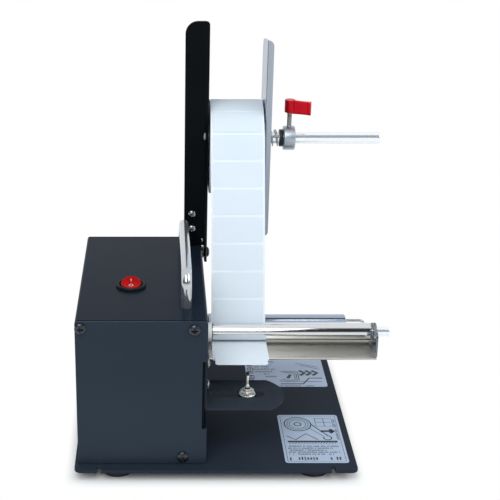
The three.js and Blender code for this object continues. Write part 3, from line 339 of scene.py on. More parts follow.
rubber = surface("foot_rubber", (22, 23, 24), 0.75, drift=0.15, grain=2500, relief=0.4, scuff=0.1)
foot_profile = [(0, 0), (12, 0), (13.2, 6.5), (13.2, 7.7), (2, 7.7), (2, 10.2), (0, 10.2)]
for corner, x, y in (("front_left", -91.45, -92.15), ("front_right", 58.25, -92.15),
                     ("rear_left", -91.45, 69.85), ("rear_right", 58.25, 69.85)):
    lathed(f"rubber_foot_{corner}", foot_profile, 1.2, "z", (x, y), rubber, "frame", "rubber",
           f"foot_{corner}", steps=4)


# Case. A cover folded from one 1.5 mm sheet, with its left wall, top and right wall round 2 mm bends
# and turned-in flanges below, closed by a flat front and rear panel, and coated dark blue grey.
case_left, case_right, case_top, case_low = -120.85, -24.05, 129.0, 10.8
notch_low, notch_high = 40.5, 96.5
# One coat in two copies: the cover's and rear panel's is darker, painted shade for the top, and the front
# panel's is lighter, painted light on the front.
case_coat = surface("case_coat", (23, 33, 45), 0.26, drift=0.05, patch=14, relief=0.25, level=0.03)
lit_front_coat = surface("lit_front_coat", (38, 49, 60), 0.34, drift=0.05, patch=14, relief=0.25, level=0.12)


def bent_line(corners, radii, steps=5):
    """A line of straight runs with a round bend at each inner corner, and the length run to each point."""
    line = [np.array(corners[0], float)[None]]
    for before, at, after, radius in zip(corners[:-2], corners[1:-1], corners[2:], radii):
        at, before, after = (np.array(p, float) for p in (at, before, after))
        back, on = (before - at) / np.linalg.norm(before - at), (after - at) / np.linalg.norm(after - at)
        t = np.linspace(0, np.pi / 2, steps + 1)[:, None]
        line.append(at + radius * (back * (1 - np.sin(t)) + on * (1 - np.cos(t))))
    line = np.concatenate(line + [np.array(corners[-1], float)[None]])
    run = np.concatenate([[0], np.cumsum(np.linalg.norm(np.diff(line, axis=0), axis=1))])
    return line, run


def folded(name, loops, line, run, thick, ease, upright=False):
    """A sheet whose flat pattern is bent along a line, u along the line's run and v square to it. The line
    lies in the x, z plane, or in the x, y plane for a sheet that stands upright."""
    def fold(u, v):
        a, b = (np.interp(u, run, line[:, i]) for i in (0, 1))
        return (a, b, v) if upright else (a, v, b)
    return cut_sheet(name, loops, fold, thick, run[1:-1], ease)


section, run = bent_line([(-95.35, case_low), (case_left, case_low), (case_left, case_top),
                          (case_right, case_top), (case_right, case_low), (-49.55, case_low)], [2, 2, 2, 2])
wall_top = run[np.flatnonzero((section[:, 0] > case_right - 0.01) & (section[:, 1] < case_top - 1.9))[0]]
slot_start, slot_end = wall_top + case_top - 2 - notch_high, wall_top + case_top - 2 - notch_low
cover_rim = np.array([(0, -99.1), (slot_start, -99.1), (slot_start, -39.15), (slot_end, -39.15),
                      (slot_end, -99.1), (run[-1], -99.1), (run[-1], 68.35), (0, 68.35)])
fit(folded("case_cover_skin", [cover_rim], section, run, 1.5, 0.2),
    case_coat, "frame", "case_coat", "case_cover")

panel_rim = rounded(case_left, case_right, case_low, case_top, 0, 0, 2, 2)
notch_left = -27.75
notch = np.array([(case_right, notch_low), (notch_left, notch_low),
                  (notch_left, notch_high), (case_right, notch_high)])
front_rim = np.concatenate([panel_rim[:14], notch, panel_rim[14:]])
fit(cut_sheet("front_panel_skin", [front_rim], lambda u, v: (u, -101.85, v), 1.5),
    lit_front_coat, "frame", "case_coat", "front_panel")

vents = [rounded(48.05 - 3 + 9 * i, 48.05 + 9 * i, 66.5, 96.5, 1.2, 1.2, 1.2, 1.2, 3)[::-1] for i in range(6)]
inlet_hole = arc((90.85, 35.5), 5.3, 0, 348, 29)[::-1]
rear_rim = panel_rim[::-1] * (-1, 1)
fit(cut_sheet("rear_panel_skin", [rear_rim, *vents, inlet_hole], lambda u, v: (-u, 70.15, v), 1.5),
    case_coat, "frame", "case_coat", "rear_panel")


# Side plate. The 3 mm steel plate inside the case's right wall that carries the shafts, coated
# black, seen a little through the notch beside the front panel.
inner_coat = surface("inner_coat", (20, 25, 31), 0.45, drift=0.08, relief=0.25, level=coat_level)


def dress(finish, *names):
    """Gives CAD nodes that stay as they are a finish in place of their plain one."""
    for name in names:
        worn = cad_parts[name].data.materials
        worn.clear()
        worn.append(finish)


dress(inner_coat, "side_plate")


# Panel screws. Three pan heads of black-oxide steel with a cross recess, which hold the front panel
# to tabs of the cover. Other pieces have screws of the same form.
def screw(name, spot, facing, shank, finish, slot, cad_node, rim=4.15):
    """A fixed screw with the underside of its pan head at spot, facing the front (-y) or the right (+x). The
    crown's height is h (1 - 0.55 s^2.6) at a share s of the rim, and the cross is sunk where the smaller of
    |x| and |y| is under the blade's half width."""
    height, sides, crown_fall, blade_half, blade_edge, recess_reach = 2.4, 96, 0.55, 0.5, 0.25, 0.6
    a = ring_angles(sides)
    share = np.concatenate([np.linspace(0, 0.72, 16), [0.8, 0.88, 0.94, 0.98, 1.0]])[:, None]
    x, y = rim * share * np.cos(a), rim * share * np.sin(a)
    narrow, far = np.minimum(abs(x), abs(y)), np.maximum(abs(x), abs(y))
    blade = np.clip((blade_half - narrow) / blade_edge, 0, 1) * np.clip((recess_reach * rim - far) / 0.5, 0, 1)
    head = np.stack([x, y, height * (1 - crown_fall * share ** 2.6) - 0.55 * height * blade], -1)
    below = np.array([(rim, 0.12), (rim * 0.98, 0), (2, 0), (2, -shank), (0, -shank)])
    skirt = np.stack([below[:, :1] * np.cos(a), below[:, :1] * np.sin(a), below[:, 1:] + 0 * a], -1)
    x, y, z = np.moveaxis(np.concatenate([head, skirt]), -1, 0)
    turned_to = {"front": (x, -z, y), "right": (z, y, x)}[facing]
    fit(skin(name, np.stack(turned_to, -1) + np.array(spot), crease=40), finish, "frame", slot, cad_node)


black_oxide = surface("black_oxide", (74, 78, 84), 0.3, 1.0, drift=0.15, patch=300, grain=2600, relief=0.15)
for name, x, z in (("left", -116.75, 123.8), ("right", -33.85, 122.5), ("low", -41.85, 17.1)):
    screw(f"black_screw_{name}", (x, -102.15, z), "front", 8, black_oxide, "black_screw",
          f"panel_screw_{name}")


# Rocker switch. A black moulded bezel that snaps into a round hole in the case top, and a black
# rocker with a hollowed red face on a pivot across it, tilted to its off side and printed I and O.
switch_x, switch_y, pivot_z = -81.25, -36.5, 129.6
moulding = surface("black_moulding", (20, 22, 25), 0.34, drift=0.1, grain=1800, relief=0.15, level=0.35)
bezel_profile = [(0, 111), (9.9, 111), (9.9, 129.3), (11.65, 129.3), (11.65, 130.2), (10.9, 131.3),
                 (9.5, 131.3), (8.9, 130.6), (8.7, 112.2), (0, 112.2)]
bezel_black = surface("bezel_black", (14, 16, 19), 0.45, drift=0.1, grain=1800, relief=0.15, level=0.12)
lathed("rocker_bezel", bezel_profile, 0.4, "z", (switch_x, switch_y), bezel_black, "frame", "black_plastic",
       "switch_bezel", sides=96)


def dish(y):
    """The rocker face's height over its pivot, in mm: 2.1 + 0.016 y^2, lowest across its middle."""
    return 2.1 + 0.016 * y ** 2


def spun(p, q, degrees):
    """The pair p, q turned by an angle w: (p cos w - q sin w, p sin w + q cos w)."""
    c, s = math.cos(math.radians(degrees)), math.sin(math.radians(degrees))
    return p * c - q * s, p * s + q * c


def tilted(points):
    """Points about the rocker's pivot, turned 12 degrees about x and set into the bezel."""
    x, y, z = np.moveaxis(points, -1, 0)
    y, z = spun(y, z, 12)
    return np.stack([x + switch_x, y + switch_y, z + pivot_z], -1)


def dished(rings, narrow=1.0):
    """Rings of (radius, height, share), their x drawn in by narrow: a point's height is its ring's own, plus
    share times the dish there."""
    a = ring_angles(80)
    r, h, share = (np.array(rings, float)[:, i:i + 1] for i in range(3))
    x, y = narrow * r * np.cos(a), r * np.sin(a)
    return np.stack([x, y, h + share * dish(y)], -1)


shell = [(0, -4, 0), (7.2, -4, 0), (8.05, -2, 0), (8.35, 0, 0)]
shell += [(8.1, -0.8, 1), (7.8, -0.25, 1), (7.5, -0.02, 1), (7, 0, 1)]
shell += [(r, 0, 1) for r in (6, 4.5, 3, 1.5, 0)]
fit(skin("rocker_shell", tilted(dished(shell)), crease=40),
    bezel_black, "switch_rocker", "black_plastic", "switch_rocker")

red_gloss = surface("red_gloss", (160, 4, 3), 0.3, patch=120, grain=900, relief=0.02, scuff=0.03, level=0.05)
face = [(0, -0.6, 1), (7.85, -0.6, 1), (7.95, -0.1, 1), (7.75, 0.1, 1), (7.35, 0.18, 1)]
face += [(r, 0.18, 1) for r in np.linspace(6.5, 0, 14)]
fit(skin("red_face", tilted(dished(face, 0.97)), crease=50), red_gloss, "switch_rocker", "red_plastic")


def beside(line, width):
    """The step to the left of a flat line at each of its points, half of width long."""
    way = np.gradient(line, axis=0)
    return np.stack([-way[:, 1], way[:, 0]], 1) / np.linalg.norm(way, axis=1)[:, None] * width / 2


def mark(name, line, width):
    """A printed stroke on the rocker's face: the line's points, widened by width, 0.08 mm over the face."""
    step = beside(line, width)
    edges = np.stack([line + step, line, line - step], 1)
    height = dish(edges[..., 1:]) + 0.26
    return skin(name, tilted(np.concatenate([edges, height], -1)), closed=False, around=False)


mark_ink = surface("mark_ink", (232, 206, 202), 0.4, drift=0.03, grain=2500, relief=0.05)
off_ring = arc((0, -3.4), 1.5, 0, -360, 40)
off_ring[-1] = off_ring[0]
on_bar = np.stack([np.zeros(12), np.linspace(5.0, 2.2, 12)], 1)
for name, line in (("off_mark", off_ring), ("on_mark", on_bar)):
    fit(mark(name, line, 0.42), mark_ink, "switch_rocker", "red_plastic")


# Carry handle. A bright 8 mm steel bar bent twice, its two ends through holes in the case top and
# held below by a nut each. The inner nuts stay as the frame has them, in plated steel.
def tube(name, path, lean, radius, sides=32, end=0.5):
    """A round bar carried along a path of points: path + radius (cos a lean + sin a (way x lean)), where
    lean is square to the path at each point. Its ends are shut by flat faces with a rounded rim."""
    path, lean = np.array(path, float), np.array(lean, float)
    way = np.gradient(path, axis=0)
    way /= np.linalg.norm(way, axis=1)[:, None]
    curl = np.array([0, 0.3, 1.0])
    first = path[0] + way[0] * end * curl[:, None]
    last = path[-1] - way[-1] * end * curl[::-1, None]
    path = np.concatenate([first[:1], first, path[1:-1], last, last[-1:]])
    keep = np.clip(np.arange(len(path)) - 3, 0, len(lean) - 1)
    lean, way = lean[keep], way[keep]
    swell = np.array([0, radius - end, radius - 0.3 * end, radius])
    size = np.concatenate([swell, np.full(len(path) - 8, radius), swell[::-1]])[:, None, None]
    a = ring_angles(sides)[None, :, None]
    ring = np.cos(a) * lean[:, None] + np.sin(a) * np.cross(way, lean)[:, None]
    return skin(name, path[:, None] + size * ring, crease=40)


zinc = surface("zinc_plate", (150, 153, 152), 0.38, 1.0, drift=0.1, grain=700, relief=0.06, scuff=0.08)
bright_bar = surface("bright_bar", (198, 203, 208), 0.14, 0.88, drift=0.03, grain=500, relief=0.01, scuff=0.02,
                     stretch=(1, 1, 0.2))
handle_line, _ = bent_line([(-75.35, 117), (-75.35, 154), (40.65, 154), (40.65, 117)], [10, 10], 12)
handle_path = np.stack([np.full(len(handle_line), -39.45), handle_line[:, 0], handle_line[:, 1]], 1)
fit(tube("handle_bar", handle_path, np.tile((1.0, 0, 0), (len(handle_path), 1)), 4),
    bright_bar, "frame", "stainless", "carry_handle")
dress(zinc, "handle_nut_front", "handle_nut_rear", "spindle_nut", "support_spacer")


# Power inlet. A round barrel socket moulded in black plastic, pushed through a hole in the rear panel
# up to its flange, with a bright plated pin in its middle.
inlet_profile = [(0, 58.45), (5, 58.45), (5, 70.45), (6.5, 70.45), (6.5, 72.45), (3.2, 72.45), (3.2, 60.45),
                 (1, 60.45), (1, 70), (0, 70.45)]
inlet_at = (-90.85, 35.5)
lathed("inlet_barrel", inlet_profile, 0.3, "y", inlet_at, moulding, "frame", "black_plastic", "dc_socket")
pin_steel = surface("pin_steel", (200, 196, 186), 0.2, 1.0, drift=0.05, patch=400)
inlet_pin = [(0, 60.5), (1.04, 60.5), (1.04, 70.2), (0, 70.7)]
lathed("inlet_pin", inlet_pin, 0.3, "y", inlet_at, pin_steel, "frame", "nickel", sides=24)


# Roll support. A tall plate of 2 mm steel with its front edge folded over to a flange, coated black,
# carried by a folded post on the case top, with two bright screws in front and two small bright domes at the
# fold that are painted glints.
support_coat = surface("support_coat", (7, 11, 15), 0.34, drift=0.1, relief=0.25, scuff=0.06, level=0.05)
support_line, support_run = bent_line([(-38.95, 48.85), (-19.45, 48.85), (-19.45, 94.85)], [3.6], 8)
bend_start, support_end = 19.5 - 3.6, support_run[-1]
support_rim = np.concatenate([
    [(0, 129.3), (bend_start, 129.3), (bend_start + 2.5, 129.3), (bend_start + 2.5, 117.5)],
    arc((bend_start + 7.5, 117.5), 5, 180, 90), arc((support_end - 5, 117.5), 5, 270, 90),
    arc((support_end - 9, 271), 9, 0, 42, 6), [(bend_start + 4.2, 314.6)],
    arc((bend_start + 0.5, 313), 4, 55, 35, 4), arc((10, 307), 10, 90, 90, 10),
])
fit(folded("support_plate_skin", [support_rim], support_line, support_run, 2.0, 0.35, upright=True),
    support_coat, "frame", "plate_coat", "roll_support_plate")
dress(support_coat, "support_post")

bright_screw = surface("bright_screw", (150, 152, 154), 0.14, 1.0, patch=300, grain=1500)
flange_head = 3.0
for name, z in (("low", 144.5), ("high", 157.5)):
    screw(f"bright_screw_{name}", (-32.55, 48.55, z), "front", 8, bright_screw, "bright_screw",
          f"support_screw_{name}", flange_head)
# Two small bright domes at the fold in the bright screw finish: painted glints.
for name, x, z, tall in (("upper", -22.7, 223.9, 2.3), ("lower", -24.0, 134.1, 0.8)):
    glint_rings = np.array([(1.0, 0), (1.0, 0.35), (0.6, 0.75), (0, 0.9)])
    a = ring_angles(24)
    r, rise_out = glint_rings[:, :1], glint_rings[:, 1:]
    spots = np.stack([x + r * np.cos(a), 48.8 - rise_out + 0 * a, z + (r + tall * (r > 0)) * np.sin(a)], -1)
    fit(skin(f"fold_glint_{name}", spots, closed=False, crease=50), bright_screw, "frame", "bright_screw")
screw("side_screw", (-19.15, 63.85, 117.5), "right", 9.7, black_oxide, "black_screw", "support_side_screw")


# Spindle. A bright ground steel bar of 10 mm with a thin shoulder, fixed through the tall plate,
# and the label roll that hangs on it: a board core and its wound web with labels on the outside.
spindle_y, spindle_z, roll_z = 72.15, 216.0, 208.6
ground_bar = surface("ground_bar", (242, 248, 254), 0.14, 0.72, drift=0.01, grain=900, relief=0.0, scuff=0.01,
                     stretch=(1, 0.1, 0.1))
spindle_profile = [(0, -31.45), (5, -31.45), (5, -19.15), (8, -19.15), (8, -18.45), (5, -18.45), (5, 122.45),
                   (4, 123.45), (0, 123.45)]
spindle_at, roll_at = (spindle_y, spindle_z), (spindle_y, roll_z)
lathed("spindle_bar", spindle_profile, 0.35, "x", spindle_at, ground_bar, "frame", "stainless", "roll_spindle",
       sides=80)


def sleeve(bore, rim, start, end):
    """The profile of a plain ring from start to end along its axis."""
    return [(bore, start), (rim, start), (rim, end), (bore, end), (bore, start)]


core_board = surface("core_board", (168, 134, 92), 0.8, drift=0.12, patch=160, grain=1200, relief=0.3,
                     stretch=(1, 0.3, 0.3))
liner_left, liner_right = -18.15, 24.85
lathed("board_core", sleeve(12.7, 16.2, liner_left, liner_right), 0.3, "x", roll_at, core_board,
       "label_roll", "core_board", "roll_core", sides=96)

liner_paper = surface("liner_paper", (218, 229, 238), 0.42, drift=0.02, patch=60, grain=900, relief=0.06,
                      level=0.2)
label_paper = surface("label_paper", (206, 219, 229), 0.55, drift=0.012, patch=40, grain=1400, relief=0.08,
                      level=0.15)
turn_count, turn_first, turn_last = 200, 16.6, 38.7
turns = np.linspace(turn_first, turn_last, turn_count)
ripple = 0.09 * np.sin(np.arange(turn_count) * np.pi * 0.5) + 0.05 * np.sin(turns * 1.7)
near_side = np.stack([turns, liner_left + 0.12 + ripple], 1)
far_side = np.stack([turns, liner_right - 0.12 - ripple], 1)
face_line = [(38.75, liner_left + 0.15), (38.75, liner_right - 0.15)]
roll_profile = np.concatenate([near_side, face_line, far_side[::-1], near_side[:1]])
lathed("wound_web", roll_profile, 0, "x", roll_at, liner_paper, "label_roll", "liner_paper", "label_roll",
       sides=128, crease=60)


# Web. The liner leaves the front of the roll, runs down behind the tension roller and round below
# it, and on over the stripper plate. Labels of 40 by 20 mm lie on it with 2 mm between them.
roller_at = (-28.85, 86.6)
roll_turn, roller_turn = 39.55, 7.55


def crossed(first, radius0, second, radius1):
    """Where a straight line that crosses over from one circle to another leaves the first: its angle, turned
    back from the line between the centres by acos((radius0 + radius1) / distance), and the line's length."""
    span = np.array(second) - first
    distance = np.linalg.norm(span)
    cosine = (radius0 + radius1) / distance
    sine = math.sqrt(1 - cosine ** 2)
    return math.atan2(span[1] * cosine - span[0] * sine, span[0] * cosine + span[1] * sine), distance * sine


leave, straight = crossed(roll_at, roll_turn, roller_at, roller_turn)
leave %= 2 * np.pi
wrap = (leave - np.pi) % (2 * np.pi) - 1.5 * np.pi
plate_lead = 30.25


def on_circle(middle, radius, a, side=1):
    """Places at the angles a of a circle about middle, and the way out from there, or in for side -1."""
    c, s = np.cos(a), np.sin(a)
    return np.array([middle[0] + radius * c, middle[1] + radius * s, side * c, side * s])


def web_place(s):
    """The web's label side and the way that it faces, at a run s in mm past the roll: round the roll for
    s < 0, straight to the roller, round it through the wrap angle, then level to the plate's nose."""
    start = on_circle(roll_at, roll_turn, leave)[:, None]
    falling = start + np.array([-start[3], start[2], [0], [0]]) * s
    turn = np.clip((s - straight) / roller_turn, 0, wrap)
    on_roller = on_circle(roller_at, roller_turn, leave - np.pi - turn, -1)
    on_roller[0] -= np.maximum(s - straight - roller_turn * wrap, 0)
    on_roll = on_circle(roll_at, roll_turn, leave + s / roll_turn)
    return np.where(s < 0, on_roll, np.where(s > straight, on_roller, falling))


def ribbon(name, place, left, right, under, over, corner=0.0):
    """A flat strip laid along a path: at each run s its section is a thin box from under to over, off the
    path's line. Round corners draw the sides in by r - sqrt(r^2 - (r - d)^2) at d from an end."""
    s, (y, z, ny, nz) = place
    d = np.minimum(np.minimum(s - s[0], s[-1] - s), corner)
    inset = corner - np.sqrt(np.maximum(corner ** 2 - (corner - d) ** 2, 0)) if corner else 0 * s
    t = np.linspace(0, 1, 12)
    x = left + inset[:, None] + (right - left - 2 * inset[:, None]) * t
    top, foot = (np.stack([x, (y + ny * k)[:, None] + 0 * x, (z + nz * k)[:, None] + 0 * x], -1)
                 for k in (over, under))
    loop = np.concatenate([top, foot[:, ::-1]], 1)
    middle = loop.mean(1, keepdims=True) + 0 * loop
    return skin(name, np.concatenate([middle[:1], loop, middle[-1:]]), crease=30)


gap_first, pitch = 15.6, 22.0
label_left, label_right = -16.65, 23.35
web_start, web_end = gap_first - pitch - 0.7, straight + roller_turn * wrap + plate_lead
runs = np.concatenate([np.linspace(web_start, 0, 8), np.linspace(8, straight - 8, 14),
                       np.linspace(straight, straight + roller_turn * wrap, 14), [web_end]])
fit(ribbon("liner_web", (runs, web_place(runs)), liner_left, liner_right, -0.25, 0.0),
    liner_paper, "frame", "liner_paper", "label_web")


def label_runs(start, end, middles=10):
    """Runs along a label, close together near its two ends where its corners are round."""
    corner = 2 * (1 - np.cos(np.linspace(0, np.pi / 2, 6)))
    middle = np.linspace(start + 2, end - 2, middles)[1:-1]
    return np.concatenate([start + corner, middle, end - corner[::-1]])


for i in range(7):
    start = gap_first + pitch * (i - 1) + 1
    s = label_runs(start, min(start + 20, straight + roller_turn * wrap - 1))
    fit(ribbon(f"label_{i + 1}", (s, web_place(s)), label_left, label_right, 0.02, 0.2, 2.0),
        label_paper, "frame", "label_paper")

outer_turn = 38.8
for i in range(10):
    s = label_runs(gap_first - pitch * (i + 2) + 1, gap_first - pitch * (i + 1) - 1, middles=14)
    place = (s, on_circle(roll_at, outer_turn, leave + s / roll_turn))
    fit(ribbon(f"roll_label_{i + 1}", place, label_left, label_right, 0.0, 0.18, 2.0),
        label_paper, "label_roll", "label_paper")


# Peeled label. The label at the plate's front edge has come off the liner, which turns back round
# the nose, and lies out over the edge. It droops by 0.15 ((s - 9) / 11)^2 mm past its first 9 mm.
# Its paper is a lighter copy of the label paper: painted light on the label out past the edge.
lit_peel_paper = surface("lit_peel_paper", (218, 231, 241), 0.5, drift=0.012, patch=40, grain=1400, relief=0.08,
                     level=0.3)
s = label_runs(0.0, 20.0, middles=14)
peel_y, peel_z, most_droop, flat_part = -51.85, 79.12, 0.15, 9
droop = most_droop * np.clip((s - flat_part) / 11, 0, 1) ** 2
peel_line = (s, (peel_y - s, peel_z - droop, 0 * s, 1 + 0 * s))
fit(ribbon("peeled_label_sheet", peel_line, label_left, label_right, 0.0, 0.18, 2.0),
    lit_peel_paper, "frame", "label_paper", "peeled_label")

nose_at, nose_turn = (-59.1, 77.75), 1.3
takeup_y, takeup_z, takeup_turn = 26.85, 60.5, 14.55
takeup_at = (takeup_y, takeup_z)
off, _ = crossed(nose_at, nose_turn, takeup_at, takeup_turn)
nose_line = on_circle(nose_at, nose_turn, np.linspace(np.pi / 2, off + 2 * np.pi, 14))
drum_line = on_circle(takeup_at, takeup_turn, np.linspace(off + np.pi, off + np.pi - np.pi / 6, 10), -1)
return_line = np.concatenate([nose_line, drum_line], 1)
path_steps = np.arange(return_line.shape[1])
fit(ribbon("liner_back", (path_steps, return_line), liner_left, liner_right, -0.12, 0.12),
    liner_paper, "frame", "liner_paper", "liner_return")


# Sliding guide. A satin steel plate with its front edge turned out, pushed along the spindle by
# a coil spring, a black seat and a grey lock collar with a red clamp lever on its stud.
guide_steel = surface("guide_steel", (170, 180, 192), 0.3, 1.0, drift=0.04, patch=9, grain=420, relief=0.05,
                      stretch=(1, 1, 0.12))
guide_line, guide_run = bent_line([(26.05, 94.85), (26.05, 48.85), (31.05, 48.85)], [1.6], 6)
guide_end = guide_run[-1]
guide_rim = rounded(0, guide_end, 138.0, 301.7, 12, 3.2, 4.5, 0, 8)
guide_rim = np.concatenate([guide_rim[:-9], [(45.5, 301.7)], arc((11, 285.3), 11, 99, 81, 8)])
fit(folded("guide_plate_skin", [guide_rim], guide_line, guide_run, 1.5, 0.3, upright=True),
    guide_steel, "guide_plate", "guide_steel", "guide_plate")

spring_steel = surface("spring_steel", (176, 180, 184), 0.22, 1.0, drift=0.05, patch=300, grain=1200)
coil_turns, dead_turn, coil_left, coil_length, coil_radius = 3, 0.22, 28.55, 10.2, 6.6
coil = np.linspace(0, coil_turns, coil_turns * 48 + 1)
pace = np.clip(coil, dead_turn, coil_turns - dead_turn)
swing = 2 * np.pi * coil
coil_x = coil_left + coil_length * (pace - dead_turn) / (coil_turns - 2 * dead_turn)
coil_lean = np.stack([0 * swing, np.cos(swing), np.sin(swing)], 1)
coil_path = np.stack([coil_x, 0 * swing, 0 * swing], 1) + coil_radius * coil_lean + (0, spindle_y, spindle_z)
spring = tube("coil_spring", coil_path, coil_lean, 0.6, 14, 0.2)
fit(spring, spring_steel, "guide_carriage", "spring_steel", "guide_spring")
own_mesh(spring)

lathed("spring_seat_ring", sleeve(5.3, 7.2, 39.75, 42.65), 0.5, "x", spindle_at, moulding,
       "guide_carriage", "black_plastic", "spring_seat")

turned_grey = surface("turned_grey", (172, 182, 192), 0.36, 1.0, drift=0.05, grain=1500, relief=0.1,
                      scuff=0.06, stretch=(6, 0.4, 0.4))
collar_profile = [(5.3, 42.95), (9.3, 42.95), (10, 43.6), (10, 51.9), (9.3, 52.55), (5.3, 52.55)]
collar_profile += collar_profile[:1]
lathed("lock_collar_ring", collar_profile, 0.25, "x", spindle_at, turned_grey, "guide_carriage",
       "grey_aluminium", "lock_collar", sides=80)

lever_x = 47.75


def threaded(radius, depth, count, start, length, steps):
    """The side of a thread at shares t of its length: (radius + depth cos(2 pi count t), start + length t)."""
    t = np.linspace(0, 1, steps + 1)
    return np.stack([radius + depth * np.cos(t * 2 * np.pi * count), start + length * t], 1)


stud_side = threaded(1.86, 0.14, 15, 226.0, 10.0, 60)
stud_head = [(2, 236.2), (2, 242.2), (0, 242.2)]
stud_profile = np.concatenate([[(0, 223), (2, 223), (2, 225.9)], stud_side, stud_head])
lever_at = (lever_x, spindle_y)
lathed("clamp_stud", stud_profile, 0, "z", lever_at, zinc, "clamp_lever", "zinc_steel", "lever_stud",
       sides=28, crease=50)

red_anodised = surface("red_anodised", (196, 26, 40), 0.28, 0.95, patch=90, grain=1200, relief=0.06,
                       scuff=0.06, level=0.3)


def lever_wing(degrees):
    """The lever's wing: a box section carried out from the hub by 17.4 t, at a share t of its reach. Its half
    width is 2.4 - 1.1 sin(pi t / 0.95), and 0.5 more past t = 0.85, its top falls by 1.2 t and its foot by
    0.5 t. The section is the curve of a square with round corners, both ends are shut, and it is turned
    about the stud by degrees."""
    reach_out, corner_power = 17.4, 0.25
    t = np.concatenate([[0, 0.04], np.linspace(0.1, 0.84, 14), [0.86, 0.9, 0.94, 0.97, 0.99, 1, 1]])[:, None]
    half = 2.4 - 1.1 * np.sin(np.pi * np.clip(t / 0.95, 0, 1)) + np.where(t > 0.85, 0.5, 0)
    top, low = 248.3 - 1.2 * t, 236.9 - 0.5 * t
    a = ring_angles(40) + np.pi / 40
    shape_u, shape_v = (np.sign(w) * np.abs(w) ** corner_power for w in (np.cos(a), np.sin(a)))
    close = np.where(np.arange(len(t)) % (len(t) - 1) == 0, 0.0, 1.0)[:, None]
    up = (top + low) / 2 + (top - low) / 2 * shape_v * close
    x, y = spun(reach_out * t, half * shape_u * close, degrees)
    return np.stack([x + lever_x, y + spindle_y, up], -1)


fit(skin("clamp_wing", lever_wing(-12), crease=35),
    red_anodised, "clamp_lever", "red_anodised", "clamp_lever")
hub_profile = [(0, 248.5), (4.1, 248.5), (4.3, 248.3), (4.3, 238.3)]
hub_profile += [(3.6, 237.8), (2.3, 237.8), (2.3, 242), (0, 242.3)]
lathed("clamp_hub", hub_profile, 0.35, "z", lever_at, red_anodised, "clamp_lever", "red_anodised")


# Stripper plate. A polished 1.5 mm steel blade with a rounded front nose and an ear folded up at
# each end. The ears carry an 8 mm axle, the chromed tension roller turns on it, and a clip holds it.
polished = surface("polished_steel", (188, 187, 180), 0.3, 1.0, drift=0.04, patch=14, grain=260, relief=0.02,
                   scuff=0.03, stretch=(0.06, 1, 1))
blade_left, blade_right, ear_front = -23.75, 110.05, -50.05
nose_left, nose_right, nose_front, blade_back = blade_left + 2, blade_right - 2, -59.85, -13.85
plate_rim = np.array([(nose_left, nose_front), (nose_right, nose_front), (nose_right, ear_front),
                      (blade_right, ear_front), (blade_right, blade_back), (blade_left, blade_back),
                      (blade_left, ear_front), (nose_left, ear_front)])
fit(cut_sheet("stripper_blade", [plate_rim], lambda u, v: (u, v, 78.5), 1.5, ease=0.7, steps=4),
    polished, "frame", "polished_steel", "stripper_plate")
# The ears are the blade's steel in a darker, bluer copy: painted shade for the dark reflections they show.
shaded_ear_steel = surface("shaded_ear_steel", (112, 122, 132), 0.26, 1.0, patch=60, grain=700, relief=0.04)
ear_rim = rounded(ear_front, -21.85, 74.0, 93.6, 1, 1, 7, 4, 6)
for name, x in (("left", blade_left + 2), ("right", blade_right)):
    fit(cut_sheet(f"stripper_ear_{name}", [ear_rim], lambda u, v, x=x: (x, u, v), 2.0, ease=0.4, steps=3),
        shaded_ear_steel, "frame", "polished_steel")

roller_bore = 4.3
axle_bar = [(0, -28.85), (4, -28.85), (4, 122.05), (0, 122.05)]
lathed("axle_bar", axle_bar, 0.5, "x", roller_at, ground_bar, "frame", "stainless", "roller_axle")
lathed("axle_clip_ring", sleeve(roller_bore, 7, 110.35, 111.55), 0.3, "x", roller_at, zinc,
       "frame", "zinc_steel", "axle_clip")

bush_white = surface("bush_white", (238, 240, 240), 0.45, drift=0.03, grain=1200, relief=0.08)
lathed("nylon_bush", sleeve(roller_bore, 7, -21.45, -18.25), 0.4, "x", roller_at, bush_white,
       "frame", "gear_nylon", "roller_bush")

chrome = surface("roller_chrome", (222, 225, 228), 0.1, 1.0, drift=0.02, patch=30, grain=300, relief=0.008,
                 scuff=0.02, stretch=(0.1, 1, 1))
lathed("chrome_roller", sleeve(roller_bore, 7, -17.95, 107.15), 0.6, "x", roller_at, chrome,
       "tension_roller", "chrome", "tension_roller", sides=96, steps=4)


# Take-up spindle. A grey aluminium drum behind the roller, with a groove for the wire clip that
# holds the liner's end. Inside the case a gear motor turns it through a pinion and a nylon gear.
drum_grey = surface("drum_grey", (158, 176, 198), 0.36, 0.85, drift=0.05, grain=900, relief=0.08, scuff=0.06,
                    stretch=(0.2, 1, 1))


def leaning(x, y, z):
    """Points about the take-up axis, turned by 20 degrees from the drum's top towards the front."""
    y, z = spun(y, z, 20)
    return np.stack(np.broadcast_arrays(x, y + takeup_y, z + takeup_z), -1)


def drum_points():
    """The drum's profile turned about x, with its rim pressed in to a flat-floored groove: where |y| is
    under 1.55 mm at the top and x is past the groove's start, z is no higher than 10.9 mm over the axis."""
    profile = eased([(0, -43.75), (5, -43.75), (5, -21.45), (14, -21.45), (14, 96.05), (0, 96.05)], 0.4)
    extra = np.array([(14, x) for x in (27.04, 27.06)])
    at = np.flatnonzero((profile[:, 0] > 13.9) & (profile[:, 1] > 0))[0]
    profile = np.concatenate([profile[:at], extra, profile[at:]])
    a = ring_angles(120)
    near = np.pi / 2 + np.array([-0.112, -0.1105, 0.1105, 0.112])
    a = np.sort(np.concatenate([a[np.abs(a - np.pi / 2) > 0.12], near, [np.pi / 2]]))
    r, h = profile[:, :1], profile[:, 1:]
    y, z = r * np.cos(a), r * np.sin(a)
    sunk = (np.abs(a - np.pi / 2) < 0.111) & (h > 27.05) & (r > 11)
    z = np.where(sunk, np.minimum(z, 10.9), z)
    return leaning(h, y, z)


fit(skin("takeup_drum", drum_points(), crease=30), drum_grey, "takeup", "grey_aluminium", "takeup_spindle")

